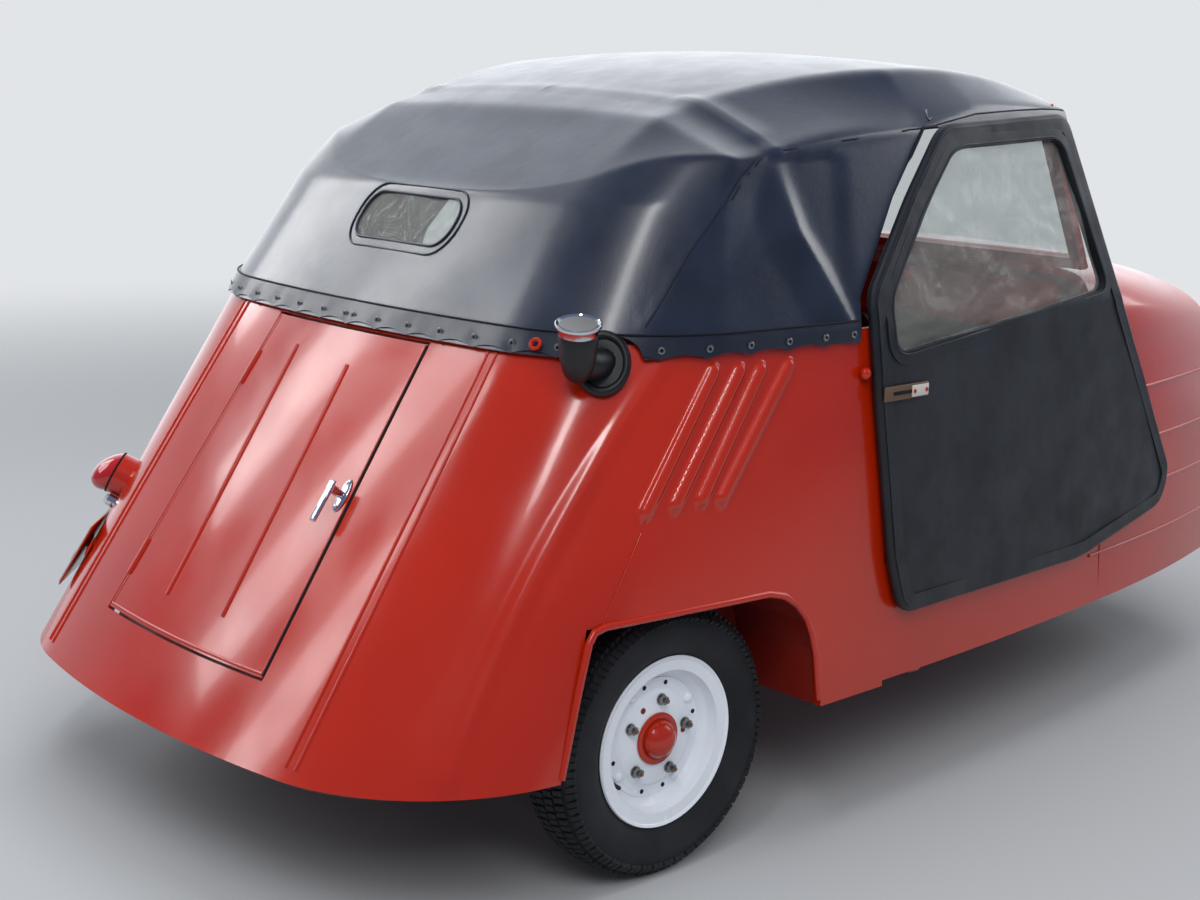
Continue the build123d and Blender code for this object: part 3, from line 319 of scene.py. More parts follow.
def framed(x: Vector, y: Vector, z: Vector) -> Matrix:
    """Turn that brings the axes onto three directions."""
    return Matrix((x, y, z)).transposed().to_4x4()


def barrel_ends(first: Points, last: Points, z: float, half: float) -> list[Vector]:
    """Ends of a hinge barrel on the line from first to last, its middle at height z."""
    low, high = Vector(first), Vector(last)
    middle, step = low.lerp(high, (z - low.z) / (high.z - low.z)), (high - low).normalized() * half
    return [middle - step, middle + step]


class Bench:
    """Makes, shapes and joins meshes with Blender's own operators."""

    @staticmethod
    def only(*items: Item) -> None:
        """Selects these objects alone, the first one active."""
        bpy.ops.object.select_all(action="DESELECT")
        for item in items:
            item.select_set(True)
        bpy.context.view_layer.objects.active = items[0]

    @classmethod
    def edit(cls, item: Item, *steps: Callable[[], object]) -> None:
        """Runs operators on the whole mesh in edit mode."""
        cls.only(item)
        bpy.ops.object.mode_set(mode="EDIT")
        bpy.ops.mesh.select_all(action="SELECT")
        for step in steps:
            step()
        bpy.ops.object.mode_set(mode="OBJECT")

    @classmethod
    def named(cls, name: str) -> Item:
        """Names the object that an operator has just made."""
        item = bpy.context.view_layer.objects.active
        item.name = item.data.name = name
        return item

    @classmethod
    def change(cls, item: Item, kind: str, **settings: object) -> Item:
        """Adds a modifier with these settings and applies it."""
        modifier = item.modifiers.new(kind, kind)
        for key, value in settings.items():
            setattr(modifier, key, value)
        cls.only(item)
        bpy.ops.object.modifier_apply(modifier=modifier.name)
        return item

    @classmethod
    def heal(cls, item: Item) -> Item:
        """Closes seams and turns the faces outward."""
        cls.edit(item, lambda: bpy.ops.mesh.remove_doubles(threshold=1e-5),
                 lambda: bpy.ops.mesh.normals_make_consistent(inside=False))
        return item

    @classmethod
    def soften(cls, item: Item, degrees: float = 32) -> Item:
        """Smooth shading, with edges sharper than an angle left hard."""
        cls.only(item)
        bpy.ops.object.shade_smooth_by_angle(angle=math.radians(degrees))
        return item

    @staticmethod
    def paint(item: Item, *finishes: Finish) -> Item:
        """Gives an object its materials in place of what it has."""
        item.data.materials.clear()
        for finish in finishes:
            item.data.materials.append(finish.material())
        return item

    @classmethod
    def dress(cls, item: Item, finish: Finish, degrees: float = 32) -> Item:
        """Gives an object one material and smooth shading."""
        return cls.soften(cls.paint(item, finish), degrees)

    @classmethod
    def grid(cls, name: str, columns: int, rows: int, place: Place) -> Item:
        """Sheet whose vertices are placed by a function of their two shares across the grid."""
        bpy.ops.mesh.primitive_grid_add(x_subdivisions=columns, y_subdivisions=rows, size=2)
        item = cls.named(name)
        flat = np.empty(len(item.data.vertices) * 3)
        item.data.vertices.foreach_get("co", flat)
        flat = flat.reshape(-1, 3)
        placed = place((flat[:, 0] + 1) / 2, (flat[:, 1] + 1) / 2)
        item.data.vertices.foreach_set("co", (placed * MM).astype(np.float32).ravel())
        item.data.update()
        return item

    @classmethod
    def shell(cls, name: str, columns: int, rows: int, place: Place, thick: float,
              inside: tuple[float, float, float] = (0, 0, 500)) -> Item:
        """Grid thickened on the side of a point inside the object."""
        item = cls.grid(name, columns, rows, place)
        cls.edit(item, lambda: bpy.ops.mesh.remove_doubles(threshold=2e-5),
                 lambda: bpy.ops.mesh.dissolve_degenerate(threshold=1e-6))
        mesh = item.data
        away = sum((p.center / MM - Vector(inside)).dot(p.normal) * p.area for p in mesh.polygons)
        if away < 0:
            cls.edit(item, bpy.ops.mesh.flip_normals)
        cls.change(item, "SOLIDIFY", thickness=thick * MM, offset=-1, use_even_offset=True)
        return item

    @classmethod
    def panel(cls, name: str, net: Array, thick: float, inside: tuple[float, float, float] = (0, 0, 500)
              ) -> Item:
        """Shell over a net of points, given as rows of columns."""
        rows, columns = (count - 1 for count in net.shape[:2])

        def place(s: Array, t: Array) -> Array:
            return net[np.rint(t * rows).astype(int), np.rint(s * columns).astype(int)]
        return cls.shell(name, columns, rows, place, thick, inside)

    @classmethod
    def plate(cls, name: str, outline: Points, low: float, high: float, axis: int = 1) -> Item:
        """Prism of a closed outline, drawn in the plane across an axis, from low to high along it."""
        bpy.ops.mesh.primitive_circle_add(vertices=len(outline), fill_type="NGON")
        item = cls.named(name)
        rest = [k for k in range(3) if k != axis]
        for vertex, point in zip(item.data.vertices, outline):
            vertex.co[axis] = low * MM
            vertex.co[rest[0]], vertex.co[rest[1]] = point[0] * MM, point[1] * MM
        move = [0.0, 0.0, 0.0]
        move[axis] = (high - low) * MM
        cls.edit(item, lambda: bpy.ops.mesh.extrude_region_move(TRANSFORM_OT_translate={"value": move}))
        cls.edit(item, lambda: bpy.ops.mesh.normals_make_consistent(inside=False))
        return item

    @classmethod
    def combine(cls, item: Item, other: Item, kind: str = "DIFFERENCE"
                ) -> Item:
        """Boolean of two objects, the second one used up."""
        cls.change(item, "BOOLEAN", operation=kind, object=other, solver="MANIFOLD")
        bpy.data.objects.remove(other, do_unlink=True)
        return item

    @classmethod
    def trim(cls, item: Item, outline: Points, low: float, high: float, axis: int = 1,
             kind: str = "DIFFERENCE") -> Item:
        """Cuts a prism out of an object, or keeps only what is inside it."""
        return cls.combine(item, cls.plate("cut", outline, *sorted((low, high)), axis), kind)

    @classmethod
    def tube(cls, name: str, path: Points, radius: float, closed: bool = False, sides: int = 2
             ) -> Item:
        """Round bar along a path."""
        curve = bpy.data.curves.new(name, "CURVE")
        curve.dimensions, curve.use_fill_caps = "3D", not closed
        curve.bevel_depth, curve.bevel_resolution = radius * MM, sides
        spline = curve.splines.new("POLY")
        spline.points.add(len(path) - 1)
        for knot, point in zip(spline.points, path):
            knot.co = (*(c * MM for c in point), 1)
        spline.use_cyclic_u = closed
        item = bpy.data.objects.new(name, curve)
        bpy.context.collection.objects.link(item)
        cls.only(item)
        bpy.ops.object.convert(target="MESH")
        return cls.heal(cls.named(name))

    @classmethod
    def turned(cls, name: str, profile: Points, steps: int = 64, closed: bool = False) -> Item:
        """Piece turned about the Y axis from points of y and radius."""
        mesh = bpy.data.meshes.new(name)
        count = len(profile)
        edges = [(k, (k + 1) % count) for k in range(count if closed else count - 1)]
        mesh.from_pydata([(0, y * MM, r * MM) for y, r in profile], edges, [])
        item = bpy.data.objects.new(name, mesh)
        bpy.context.collection.objects.link(item)
        cls.change(item, "SCREW", axis="Y", angle=2 * math.pi, steps=steps, render_steps=steps,
                   use_merge_vertices=True, merge_threshold=1e-6)
        return cls.heal(item)

    @classmethod
    def block(cls, name: str, centre: Points, size: Points, bevel: float = 0, segments: int = 2
              ) -> Item:
        """Box with rounded edges."""
        bpy.ops.mesh.primitive_cube_add(size=1)
        item = cls.named(name)
        item.data.transform(moved(centre) @ Matrix.Diagonal((*(s * MM for s in size), 1)))
        if bevel:
            cls.change(item, "BEVEL", width=bevel * MM, segments=segments, limit_method="NONE")
        return item

    @classmethod
    def ball(cls, name: str, centre: Points, radii: Points) -> Item:
        """Ellipsoid with its own three radii."""
        bpy.ops.mesh.primitive_uv_sphere_add(segments=24, ring_count=12)
        item = cls.named(name)
        item.data.transform(moved(centre) @ Matrix.Diagonal((*(s * MM for s in radii), 1)))
        return item

    @classmethod
    def disc(cls, name: str, centre: Points, normal: Points, radius: float, depth: float, sides: int = 32
             ) -> Item:
        """Short cylinder along a direction, its middle at a point."""
        bpy.ops.mesh.primitive_cylinder_add(vertices=sides, radius=radius * MM, depth=depth * MM)
        item = cls.named(name)
        turn = Vector(normal).to_track_quat("Z", "Y").to_matrix().to_4x4()
        item.data.transform(moved(centre) @ turn)
        return item

    @classmethod
    def join(cls, name: str, items: Sequence[Item]) -> Item:
        """One object of several, with their materials."""
        cls.only(*items)
        if len(items) > 1:
            bpy.ops.object.join()
        return cls.named(name)

    @classmethod
    def kit(cls, name: str, parts: Sequence[tuple[Item, Finish]], place: Matrix | None = None, degrees: float = 32
            ) -> Item:
        """One object of several parts, each with its finish, put at a place.

        Args:
            name: Name of the object.
            parts: Each part and its finish.
            place: Where it goes, if it was made about the origin.
            degrees: Angle above which edges stay hard.

        Returns:
            The joined object.
        """
        made = cls.join(name, [cls.dress(item, finish, degrees) for item, finish in parts])
        return cls.put(made, place) if place else made

    @classmethod
    def around(cls, item: Item, count: int) -> Item:
        """Copies of an object evenly round the Y axis, as one mesh."""
        pivot = bpy.data.objects.new("pivot", None)
        bpy.context.collection.objects.link(pivot)
        pivot.rotation_euler = (0, 2 * math.pi / count, 0)
        bpy.context.view_layer.update()
        cls.change(item, "ARRAY", count=count, use_relative_offset=False, use_object_offset=True,
                   offset_object=pivot)
        bpy.data.objects.remove(pivot, do_unlink=True)
        return item

    @staticmethod
    def put(item: Item, matrix: Matrix) -> Item:
        """Moves an object's mesh, its origin left where it is."""
        item.data.transform(matrix)
        if matrix.determinant() < 0:
            item.data.flip_normals()
        return item

    @classmethod
    def twin(cls, item: Item, name: str, matrix: Matrix) -> Item:
        """Copy of an object under another name, moved."""
        copy = item.copy()
        copy.data = item.data.copy()
        bpy.context.collection.objects.link(copy)
        copy.name = copy.data.name = name
        return cls.put(copy, matrix)


MIRROR = Matrix.Diagonal((1, -1, 1, 1))
SIDES = ((1, "left"), (-1, "right"))


def filler_hole() -> Item:
    """Cutter of the hole round the filler's neck."""
    x, y, z = GROMMET
    return Bench.disc("cut", (x - 40, y + 6, z - 4), (1, 0, 0), 45, 240, 40)


def seat(piece: Item, body: str, slot: str, *nodes: str) -> Item:
    """Lets a piece ride on a body and stand for nodes, which are hidden."""
    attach(piece, body)
    if nodes:
        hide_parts(*nodes)
    return piece


# Surfaces


def centre_of(a: Points, b: Points, c: Points) -> tuple[float, float]:
    """Centre of the circle through three points."""
    (ax, ay), (bx, by), (cx, cy) = a, b, c
    d = 2 * (ax * (by - cy) + bx * (cy - ay) + cx * (ay - by))
    sums = [p[0] ** 2 + p[1] ** 2 for p in (a, b, c)]
    return ((sums[0] * (by - cy) + sums[1] * (cy - ay) + sums[2] * (ay - by)) / d,
            (sums[0] * (cx - bx) + sums[1] * (ax - cx) + sums[2] * (bx - ax)) / d)


def arc_points(centre: Points, start: Points, end: Points, shares: Array) -> Array:
    """Points of the shorter arc from start to end."""
    radius = math.dist(centre, start)
    first, last = (math.atan2(p[1] - centre[1], p[0] - centre[0]) for p in (start, end))
    turn = (last - first + math.pi) % (2 * math.pi) - math.pi
    angle = first + turn * shares
    return np.stack([centre[0] + radius * np.cos(angle), centre[1] + radius * np.sin(angle)], axis=1)


def curve_through(a: Points, b: Points, c: Points, count: int) -> list[tuple[float, float]]:
    """Points of the arc through three points, ends included."""
    centre = centre_of(a, b, c)
    shares = np.linspace(0, 1, count)
    return [tuple(p) for half in ((a, b), (b, c)) for p in arc_points(centre, *half, shares)[half[0] is b:]]


def plan(row: Sequence[float], end_x: float, out: float = 0) -> Array:
    """Half outline seen from above: an arc over the tip, one round the corner and one along the side."""
    _, tip, corner, corner_w, side, side_w, middle, middle_w, end_w = row
    tip, corner, corner_w = tip - out, corner - out, corner_w + 0.35 * out
    side_w, middle_w, end_w = side_w + out, middle_w + out, end_w + out
    shares = np.linspace(0, 1, ARC)
    first = arc_points(centre_of((corner, -corner_w), (tip, 0), (corner, corner_w)), (tip, 0), (corner, corner_w),
                       shares)
    turn = 2 * math.atan((corner - tip) / corner_w)
    across = (math.cos(turn), -math.sin(turn))
    gap = (side - corner, side_w - corner_w)
    reach = (gap[0] ** 2 + gap[1] ** 2) / (2 * (gap[0] * across[0] + gap[1] * across[1]))
    centre = (corner + across[0] * reach, corner_w + across[1] * reach)
    second = arc_points(centre, (corner, corner_w), (side, side_w), shares)
    far = centre_of((side, side_w), (middle, middle_w), (end_x, end_w))
    third = arc_points(far, (side, side_w), (end_x, end_w), shares)
    return np.concatenate([first, second[1:], third[1:]])


def stretch_row(rows: Points, z: float) -> list[float]:
    """Row of a table of two rows at height z, along the straight line through them."""
    share = (z - rows[0][0]) / (rows[1][0] - rows[0][0])
    return [a + (b - a) * share for a, b in zip(*rows)]


def read_at(at: float, places: Array, values: Array) -> float:
    """Value at a place on a line whose places only rise or only fall."""
    return float(np.interp(at, places, values) if places[-1] > places[0] else np.interp(-at, -places, values))


class Skin:
    """Surface that runs straight between plan outlines at given heights."""

    def __init__(self, levels: Sequence[tuple[float, Array]]) -> None:
        self.heights = [z for z, _ in levels]
        self.outlines = [outline for _, outline in levels]

    def level(self, z: float) -> Array:
        """Half outline at height z."""
        k = int(np.clip(np.searchsorted(self.heights, z) - 1, 0, len(self.heights) - 2))
        share = (z - self.heights[k]) / (self.heights[k + 1] - self.heights[k])
        return self.outlines[k] + (self.outlines[k + 1] - self.outlines[k]) * share

    def course(self, z: float, shares: Array, start_y: float = 0, end_x: float | None = None) -> Array:
        """Points along the outline at height z, from half width start_y to end_x, by share of its length."""
        line = self.level(z)
        run = np.concatenate([[0], np.cumsum(np.linalg.norm(np.diff(line, axis=0), axis=1))])
        near = np.interp(start_y, line[:ARC, 1], run[:ARC])
        far = run[-1] if end_x is None else read_at(end_x, line[ARC:, 0], run[ARC:])
        at = near + (far - near) * shares
        return np.stack([np.interp(at, run, line[:, 0]), np.interp(at, run, line[:, 1])], axis=1)

    def side_y(self, x: float, z: float) -> float:
        """Half width of the side at x and z."""
        line = self.level(z)[2 * ARC:]
        return read_at(x, line[:, 0], line[:, 1])

    def spot(self, y: float, z: float, side: int = 1) -> Vector:
        """Point of the tip or of the corner at half width y and height z."""
        line = self.level(z)[:2 * ARC]
        return Vector((float(np.interp(y, line[:, 1], line[:, 0])), side * y, z))

    def place(self, y: float, z: float, side: int = 1, out: float = 0) -> Matrix:
        """Frame on the skin: X along its outline, Y up its slope and Z outward."""
        here = self.spot(y, z, side)
        along = (self.spot(y + 2, z, side) - here).normalized()
        rise = self.spot(y, z + 5, side) - here
        rise = (rise - along * rise.dot(along)).normalized()
        normal = along.cross(rise)
        normal = -normal if normal.x > 0 else normal
        return moved(here + normal * out) @ framed(rise.cross(normal), rise, normal)

    def tip_x(self, y: float, z: float) -> float:
        """Where the tip's arc stands at half width y and height z."""
        line = self.level(z)[:ARC]
        return float(np.interp(abs(y), line[:, 1], line[:, 0]))


TUB = Skin([(z, plan(stretch_row(TUB_ROWS, z), FRONT_X)) for z in (250, 888)])
HOOD = Skin([(z, plan(stretch_row(TUB_ROWS, z), FRONT_X, 10)) for z in (868, 893)]
            + [(row[0], plan(row, FRONT_X, 10)) for row in HOOD_ROWS])


def seam_half(z: float) -> float:
    """Half width of the seams beside the lid at height z."""
    return float(np.interp(z, *zip(*SEAM_HALF)))


def distance(points: Array, path: Points) -> Array:
    """Distance of each point from a line of straight runs."""
    near = np.full(len(points), 1e9)
    for a, b in zip(path, path[1:]):
        a, b = np.array(a, float), np.array(b, float)
        share = np.clip((points - a) @ (b - a) / ((b - a) @ (b - a)), 0, 1)
        near = np.minimum(near, np.linalg.norm(points - (a + share[:, None] * (b - a)), axis=1))
    return near


@dataclass(frozen=True)
class Press:
    """Pressed line in a panel.

    Args:
        path: Points of its middle line.
        half: Half of its width.
        height: How far it stands out, less than nothing for a groove.
        flat: Share of the half width that stands at full height.
    """

    path: Points
    half: float
    height: float
    flat: float = 0.0

    def lift(self, points: Array) -> Array:
        """How far each point is moved out."""
        near = distance(points, self.path)
        return self.height * smooth((self.half - near) / (self.half * (1 - self.flat)))


@dataclass(frozen=True)
class Pocket:
    """Hollow of a side between two lines that run down it, deepest away from both.

    Args:
        rear: Points of the line behind it, from the top down.
        front: Points of the line in front of it, from the top down.
        depth: How far it sinks.
        reach: Distance from the lines at which it is at its deepest.
    """

    rear: Points
    front: Points
    depth: float
    reach: float

    def lift(self, points: Array) -> Array:
        """How far each point is moved out."""
        behind, ahead = (np.interp(points[:, 2], [p[2] for p in line[::-1]], [p[0] for p in line[::-1]])
                         for line in (self.rear, self.front))
        inside = (points[:, 0] > behind) & (points[:, 0] < ahead) & (points[:, 1] * self.rear[0][1] > 0)
        inside &= points[:, 2] < self.rear[0][2]
        near = np.minimum(distance(points, self.rear), distance(points, self.front))
        return -self.depth * smooth(near / self.reach) * inside


def pressed(net: Array, presses: Sequence[Press | Pocket], outward: tuple[float, float, float]) -> Array:
    """Moves the points of a net along its normal by the presses.

    Args:
        net: Points, as rows of columns.
        presses: Lines pressed into the panel.
        outward: Direction that is out, roughly.

    Returns:
        The moved net.
    """
    points = net.reshape(-1, 3)
    normal = np.cross(np.gradient(net, axis=1), np.gradient(net, axis=0)).reshape(-1, 3)
    normal /= np.linalg.norm(normal, axis=1, keepdims=True) + 1e-12
    normal *= np.sign(normal @ np.array(outward))[:, None]
    move = sum(press.lift(points) for press in presses)
    return (points + normal * np.asarray(move)[:, None]).reshape(net.shape)


def spread(spans: Sequence[tuple[float, float, int]]) -> Array:
    """Shares from 0 to 1 in spans of start, end and number of cells."""
    parts = [np.linspace(a, b, n, endpoint=False) for a, b, n in spans]
    return np.concatenate([*parts, [1.0]])


def eased(path: Points, count: int = 28) -> list[tuple[float, float, float]]:
    """A path drawn smooth, by curves of the second order in its height."""
    points = np.array(path, float)
    z = np.linspace(points[0, 2], points[-1, 2], count)
    x, y = (np.polyval(np.polyfit(points[:, 2], points[:, k], 2), z) for k in (0, 1))
    return [tuple(p) for p in np.stack([x, y, z], axis=1)]


def whole(half: Array) -> Array:
    """Net of both sides from that of one, its first column on the middle plane."""
    return np.concatenate([half[:, ::-1] * (1, -1, 1), half[:, 1:]], axis=1)


def mirrored(path: Points, side: int) -> list[tuple[float, float, float]]:
    """A path of the right side, on either side."""
    return [(x, -side * y, z) for x, y, z in path]


# Sub-assemblies


@dataclass
class TailBody:
    """Rear body: quarters, lid, rail, valance and sills."""

    louvres: Points = (((-664, -626, 845), (-813, -634, 639)), ((-612, -633, 842), (-756, -642, 645)),
                       ((-568, -638, 840), (-703, -647, 646)), ((-508, -644, 841), (-660, -651, 644)))
    ridge: Points = ((-746, -594, 864), (-838, -591, 745), (-941, -579, 628), (-1051, -583, 467),
                     (-1118, -587, 365), (-1168, -598, 275))
    beads: Points = (((-906, -357, 862), (-1100, -372, 579), (-1320, -384, 268)),
                     ((-900, -375, 862), (-1092, -391, 580), (-1312, -404, 268)))
    swages: Points = (((-956, 116, 816), (-1100, 102, 615), (-1242, 89, 415)),
                      ((-966, -53, 804), (-1100, -70, 610), (-1239, -86, 418)))
    # Edge of the wheel opening, its corners rounded: x, z.
    arch: Points = ((-1003, 256), (-962, 390), (-940, 455), (-928, 470), (-905, 475), (-560, 468), (-524, 459),
                    (-494, 440), (-470, 412), (-457, 385), (-446, 345), (-441, 300), (-437, 262))

    def build(self) -> None:
        """Makes every panel of the tub."""
        for side, name in SIDES:
            self.quarter(side, name)
            self.sill(side, name)
        self.tail_panels()

    def quarter(self, side: int, name: str) -> None:
        """One quarter with its louvres, ridge, beads and wheel opening."""
        shares = spread([(0, 0.12, 14), (0.12, 0.30, 34), (0.30, 0.43, 34), (0.43, 0.86, 124), (0.86, 1, 12)])
        heights = SKIRT_Z + (TUB_TOP - SKIRT_Z) * spread([(0, 0.36, 26), (0.36, 0.60, 20), (0.60, 1, 56)])
        presses = [Press(mirrored(eased(self.ridge), side), 27, 4.5)]
        presses += [Press(mirrored(path, side), 15, 9, 0.35) for path in self.louvres]
        net = np.array([[(x, side * y, z) for x, y in TUB.course(z, shares, seam_half(z), QUARTER_END)]
                        for z in heights])
        panel = Bench.panel("quarter_" + name, pressed(net, presses, (-0.5, side, 0.4)), PANEL)
        Bench.trim(panel, WHEEL_OPENING, side * 420, side * 900)
        Bench.trim(panel, BODY_OPENING, side * 300, side * 900)
        Bench.dress(panel, RED, 40)
        trim = []
        for path in self.beads:
            trim.append(Bench.tube("bead", self.on_skin(mirrored(eased(path), side)), 4, sides=3))
        lip = [(x, side * (TUB.side_y(x, z) - 3), z) for x, z in self.arch]
        trim.append(Bench.tube("lip", lip, 6.5, sides=3))
        seam = [(x, -side * (y - 0.5), z) for x, y, z in ((-824, -638, 608), (-866, -642, 543), (-907, -645, 479))]
        trim.append(Bench.tube("seam", seam, 1.6))
        for item in trim:
            Bench.dress(item, RED, 60)
        seat(Bench.join("rear_quarter_look_" + name, [panel, *trim]), "body", "body_paint", "rear_quarter_" + name)

    @staticmethod
    def on_skin(path: Points) -> list[tuple[float, float, float]]:
        """The path brought onto the tub at each point's half width and height."""
        made = []
        for _, y, z in path:
            line = TUB.level(z)[:2 * ARC]
            made.append((float(np.interp(abs(y), line[:, 1], line[:, 0])) + 1.2, y, z))
        return made

    @staticmethod
    def sill(side: int, name: str) -> None:
        """Outer sill under the door."""
        def place(s: Array, t: Array) -> Array:
            x = QUARTER_END + (FRONT_X - QUARTER_END) * s
            z = 260 + 210 * t
            return np.array([(a, side * TUB.side_y(a, c), c) for a, c in zip(x, z)])
        panel = Bench.shell("sill_" + name, 39, 11, place, PANEL)
        Bench.trim(panel, BODY_OPENING, side * 300, side * 900)
        Bench.dress(panel, RED)
        tab = Bench.block("tab", (-150, side * 655, 254), (34, 16, 22), 4)
        Bench.dress(tab, RED)
        seat(Bench.join("side_sill_look_" + name, [panel, tab]), "body", "body_paint", "side_sill_" + name)

    def tail_panels(self) -> None:
        """Engine lid with its swages, rail above it and valance below it."""
        for name, low, high, gap, count in (("engine_lid", *LID_Z, LID_GAP, 60),
                                            ("tail_valance", SKIRT_Z, LID_Z[0] - LID_GAP, 0, 12),
                                            ("deck_rail", LID_Z[1] + LID_GAP, TUB_TOP, 0, 5)):
            heights = np.linspace(low, high, count)
            across = np.linspace(-1, 1, 61)
            net = np.array([[(TUB.tip_x(s * (seam_half(z) - gap), z), s * (seam_half(z) - gap), z)
                             for s in across] for z in heights])
            items = [Bench.dress(Bench.panel(name + "_look", net, PANEL, (0, 0, 300)), RED, 40)]
            if name == "engine_lid":
                items += self.hinges() + self.lid_lines(low, high, gap)
            else:
                items.append(self.jamb(low, high, name == "tail_valance"))
            seat(Bench.join(name + "_look", items), "lid" if name == "engine_lid" else "body", "body_paint", name)

    @staticmethod
    def jamb(low: float, high: float, below: bool) -> Item:
        """Flange behind the gap along the lid's lower or upper edge.

        Args:
            low: Bottom of the panel that carries it.
            high: Top of that panel.
            below: Whether that panel is below the lid.

        Returns:
            The flange.
        """
        start, end = (high - 12, high + 20) if below else (low - 20, low + 12)

        def place(s: Array, t: Array) -> Array:
            z = start + (end - start) * t
            y = (2 * s - 1) * 232
            return np.array([(TUB.tip_x(a, b) + 19, a, b) for a, b in zip(y, z)])
        strip = Bench.shell("jamb", 24, 2, place, 2, (0, 0, 300))
        return Bench.dress(strip, DARK_RED)

    def lid_lines(self, low: float, high: float, gap: float) -> list[Item]:
        """Swages of the lid, the folded lip round its edge and a black tube down its right side that paints the gap's
        shade.
        """
        lines = [self.on_skin(eased(path)) for path in self.swages]
        for side in (1, -1):
            edge = [(0, side * (seam_half(z) - gap - 4), z) for z in np.linspace(low + 3, high - 3, 24)]
            lines.append([(x + 1.3, y, z) for x, y, z in self.on_skin(edge)])
        width = seam_half(low) - gap - 4
        lines.append([(TUB.tip_x(y, low + 4) + 2.2, y, low + 4) for y in np.linspace(-width, width, 30)])
        made = []
        for k, line in enumerate(lines):
            made.append(Bench.tube("line", line, 5.5 if k < 2 else 3.6, sides=3))
            Bench.dress(made[-1], RED, 60)
        # Black tube in the gap down the lid's right side: painted shade of the gap.
        edge = self.on_skin([(0, -(seam_half(z) - gap + 0.5), z) for z in np.linspace(low + 2, high - 2, 24)])
        gap_shade_tube = Bench.tube("gap_shade_tube", [(x - 0.4, y, z) for x, y, z in edge], 3.2, sides=3)
        made.append(Bench.dress(gap_shade_tube, BLACK_AND_SHADE, 60))
        return made

    @staticmethod
    def hinges() -> list[Item]:
        """Barrels of the lid's hinges on its left seam."""
        low, high = (-1266.65, 245.7, 363), (-916.18, 217.7, 864)
        return [Bench.dress(Bench.tube("barrel", barrel_ends(low, high, z, 35), 6, sides=4), RED) for z in (445, 765)]


@dataclass
class Nose:
    """Front body shell, its beads and its two headlamps."""

    levels: int = 40
    beads: tuple[float, ...] = (680, 570, 470, 360)

    def build(self) -> None:
        """Makes the shell and the lamps."""
        shares = spread([(0, 0.5, 60), (0.5, 1, 56)])
        net = []
        for z in self.heights():
            line = plan(self.row(z), NOSE_BACK)
            net.append([(x, y, z) for x, y in Skin([(z, line), (z + 1, line)]).course(z, shares)])
        last = net[-1]
        for share in np.linspace(0, 1, 15)[1:]:
            net.append([(x, y * (1 - share), 930 + 8 * y / 578 * math.sin(share * math.pi / 2)) for x, y, _ in last])
        shell = Bench.panel("nose", whole(self.round_over(np.array(net))), PANEL, (700, 0, 400))
        Bench.trim(shell, BODY_OPENING, -900, 900)
        Bench.trim(shell, ((0, 0), (0, 470), (FRONT_X, 470), (FRONT_X, 0)), -900, 900)
        items = [shell]
        for side in (1, -1):
            x, y, z = HEADLAMP
            Bench.combine(shell, Bench.disc("cut", (x - 40, side * y, z), (1, 0, 0), 82, 240, 48))
            items += self.side_beads(side)
        for item in items:
            Bench.dress(item, RED, 40)
        seat(Bench.join("nose_shell_look", items), "body", "body_paint", "nose_shell")
        for side, name in SIDES:
            self.headlamp(side, name)

    @staticmethod
    def heights() -> Array:
        """Heights of the rows, closer where the bonnet turns over."""
        return np.concatenate([np.linspace(260, 700, 18), np.linspace(715, 880, 14), np.linspace(886, 930, 8)])

    @staticmethod
    def row(z: float) -> list[float]:
        """Row of the nose at height z, smooth through the table."""
        table = np.array(NOSE_ROWS, float)
        heights = table[:, 0]
        slopes = np.gradient(table, heights, axis=0)
        k = int(np.clip(np.searchsorted(heights, z) - 1, 0, len(heights) - 2))
        h = heights[k + 1] - heights[k]
        t = (z - heights[k]) / h
        value = ((1 + 2 * t) * (1 - t) ** 2 * table[k] + t * (1 - t) ** 2 * h * slopes[k]
                 + t * t * (3 - 2 * t) * table[k + 1] + t * t * (t - 1) * h * slopes[k + 1])
        _, back_w, quarter, quarter_w, shoulder, shoulder_w, cheek, cheek_w, tip = value
        return [z, tip, cheek, cheek_w, shoulder, shoulder_w, quarter, quarter_w, back_w]

    @staticmethod
    def round_over(net: Array) -> Array:
        """Softens the turn from the bonnet's sides to its top."""
        start = len(net) - 26
        for _ in range(5):
            inner = (net[start:-2] + 2 * net[start + 1:-1] + net[start + 2:]) / 4
            net[start + 1:-1] = inner
        return net

    def side_beads(self, side: int) -> list[Item]:
        """Fine beads along one side."""
        made = []
        for z in self.beads:
            path = [(x, side * (y + 0.3), z) for x, y in plan(self.row(z), NOSE_BACK)[2 * ARC::8]]
            made.append(Bench.tube("bead", path, 3.4, sides=3))
        return made

    @staticmethod
    def headlamp(side: int, name: str) -> None:
        """Lamp with a chrome rim and a domed glass."""
        x, y, z = HEADLAMP
        bowl = Bench.turned("bowl", [(-95, 0), (-95, 52), (-60, 72), (-20, 79.5), (-6, 80), (-6, 0)], 48)
        rim = Bench.turned("rim", [(-10, 80), (-6, 83), (0, 82), (3, 76), (0, 70), (-8, 70)], 48, True)
        lens = Bench.turned("lens", [(-6, 70), (0, 70), (7, 50), (11, 26), (12, 0)], 48)
        place = moved((x, side * y, z)) @ Matrix.Rotation(-math.pi / 2, 4, "Z")
        lamp = Bench.kit("headlamp_look_" + name, ((bowl, RED), (rim, CHROME), (lens, LAMP_GLASS)), place)
        seat(lamp, "body", "lamp_chrome", "headlamp_" + name)


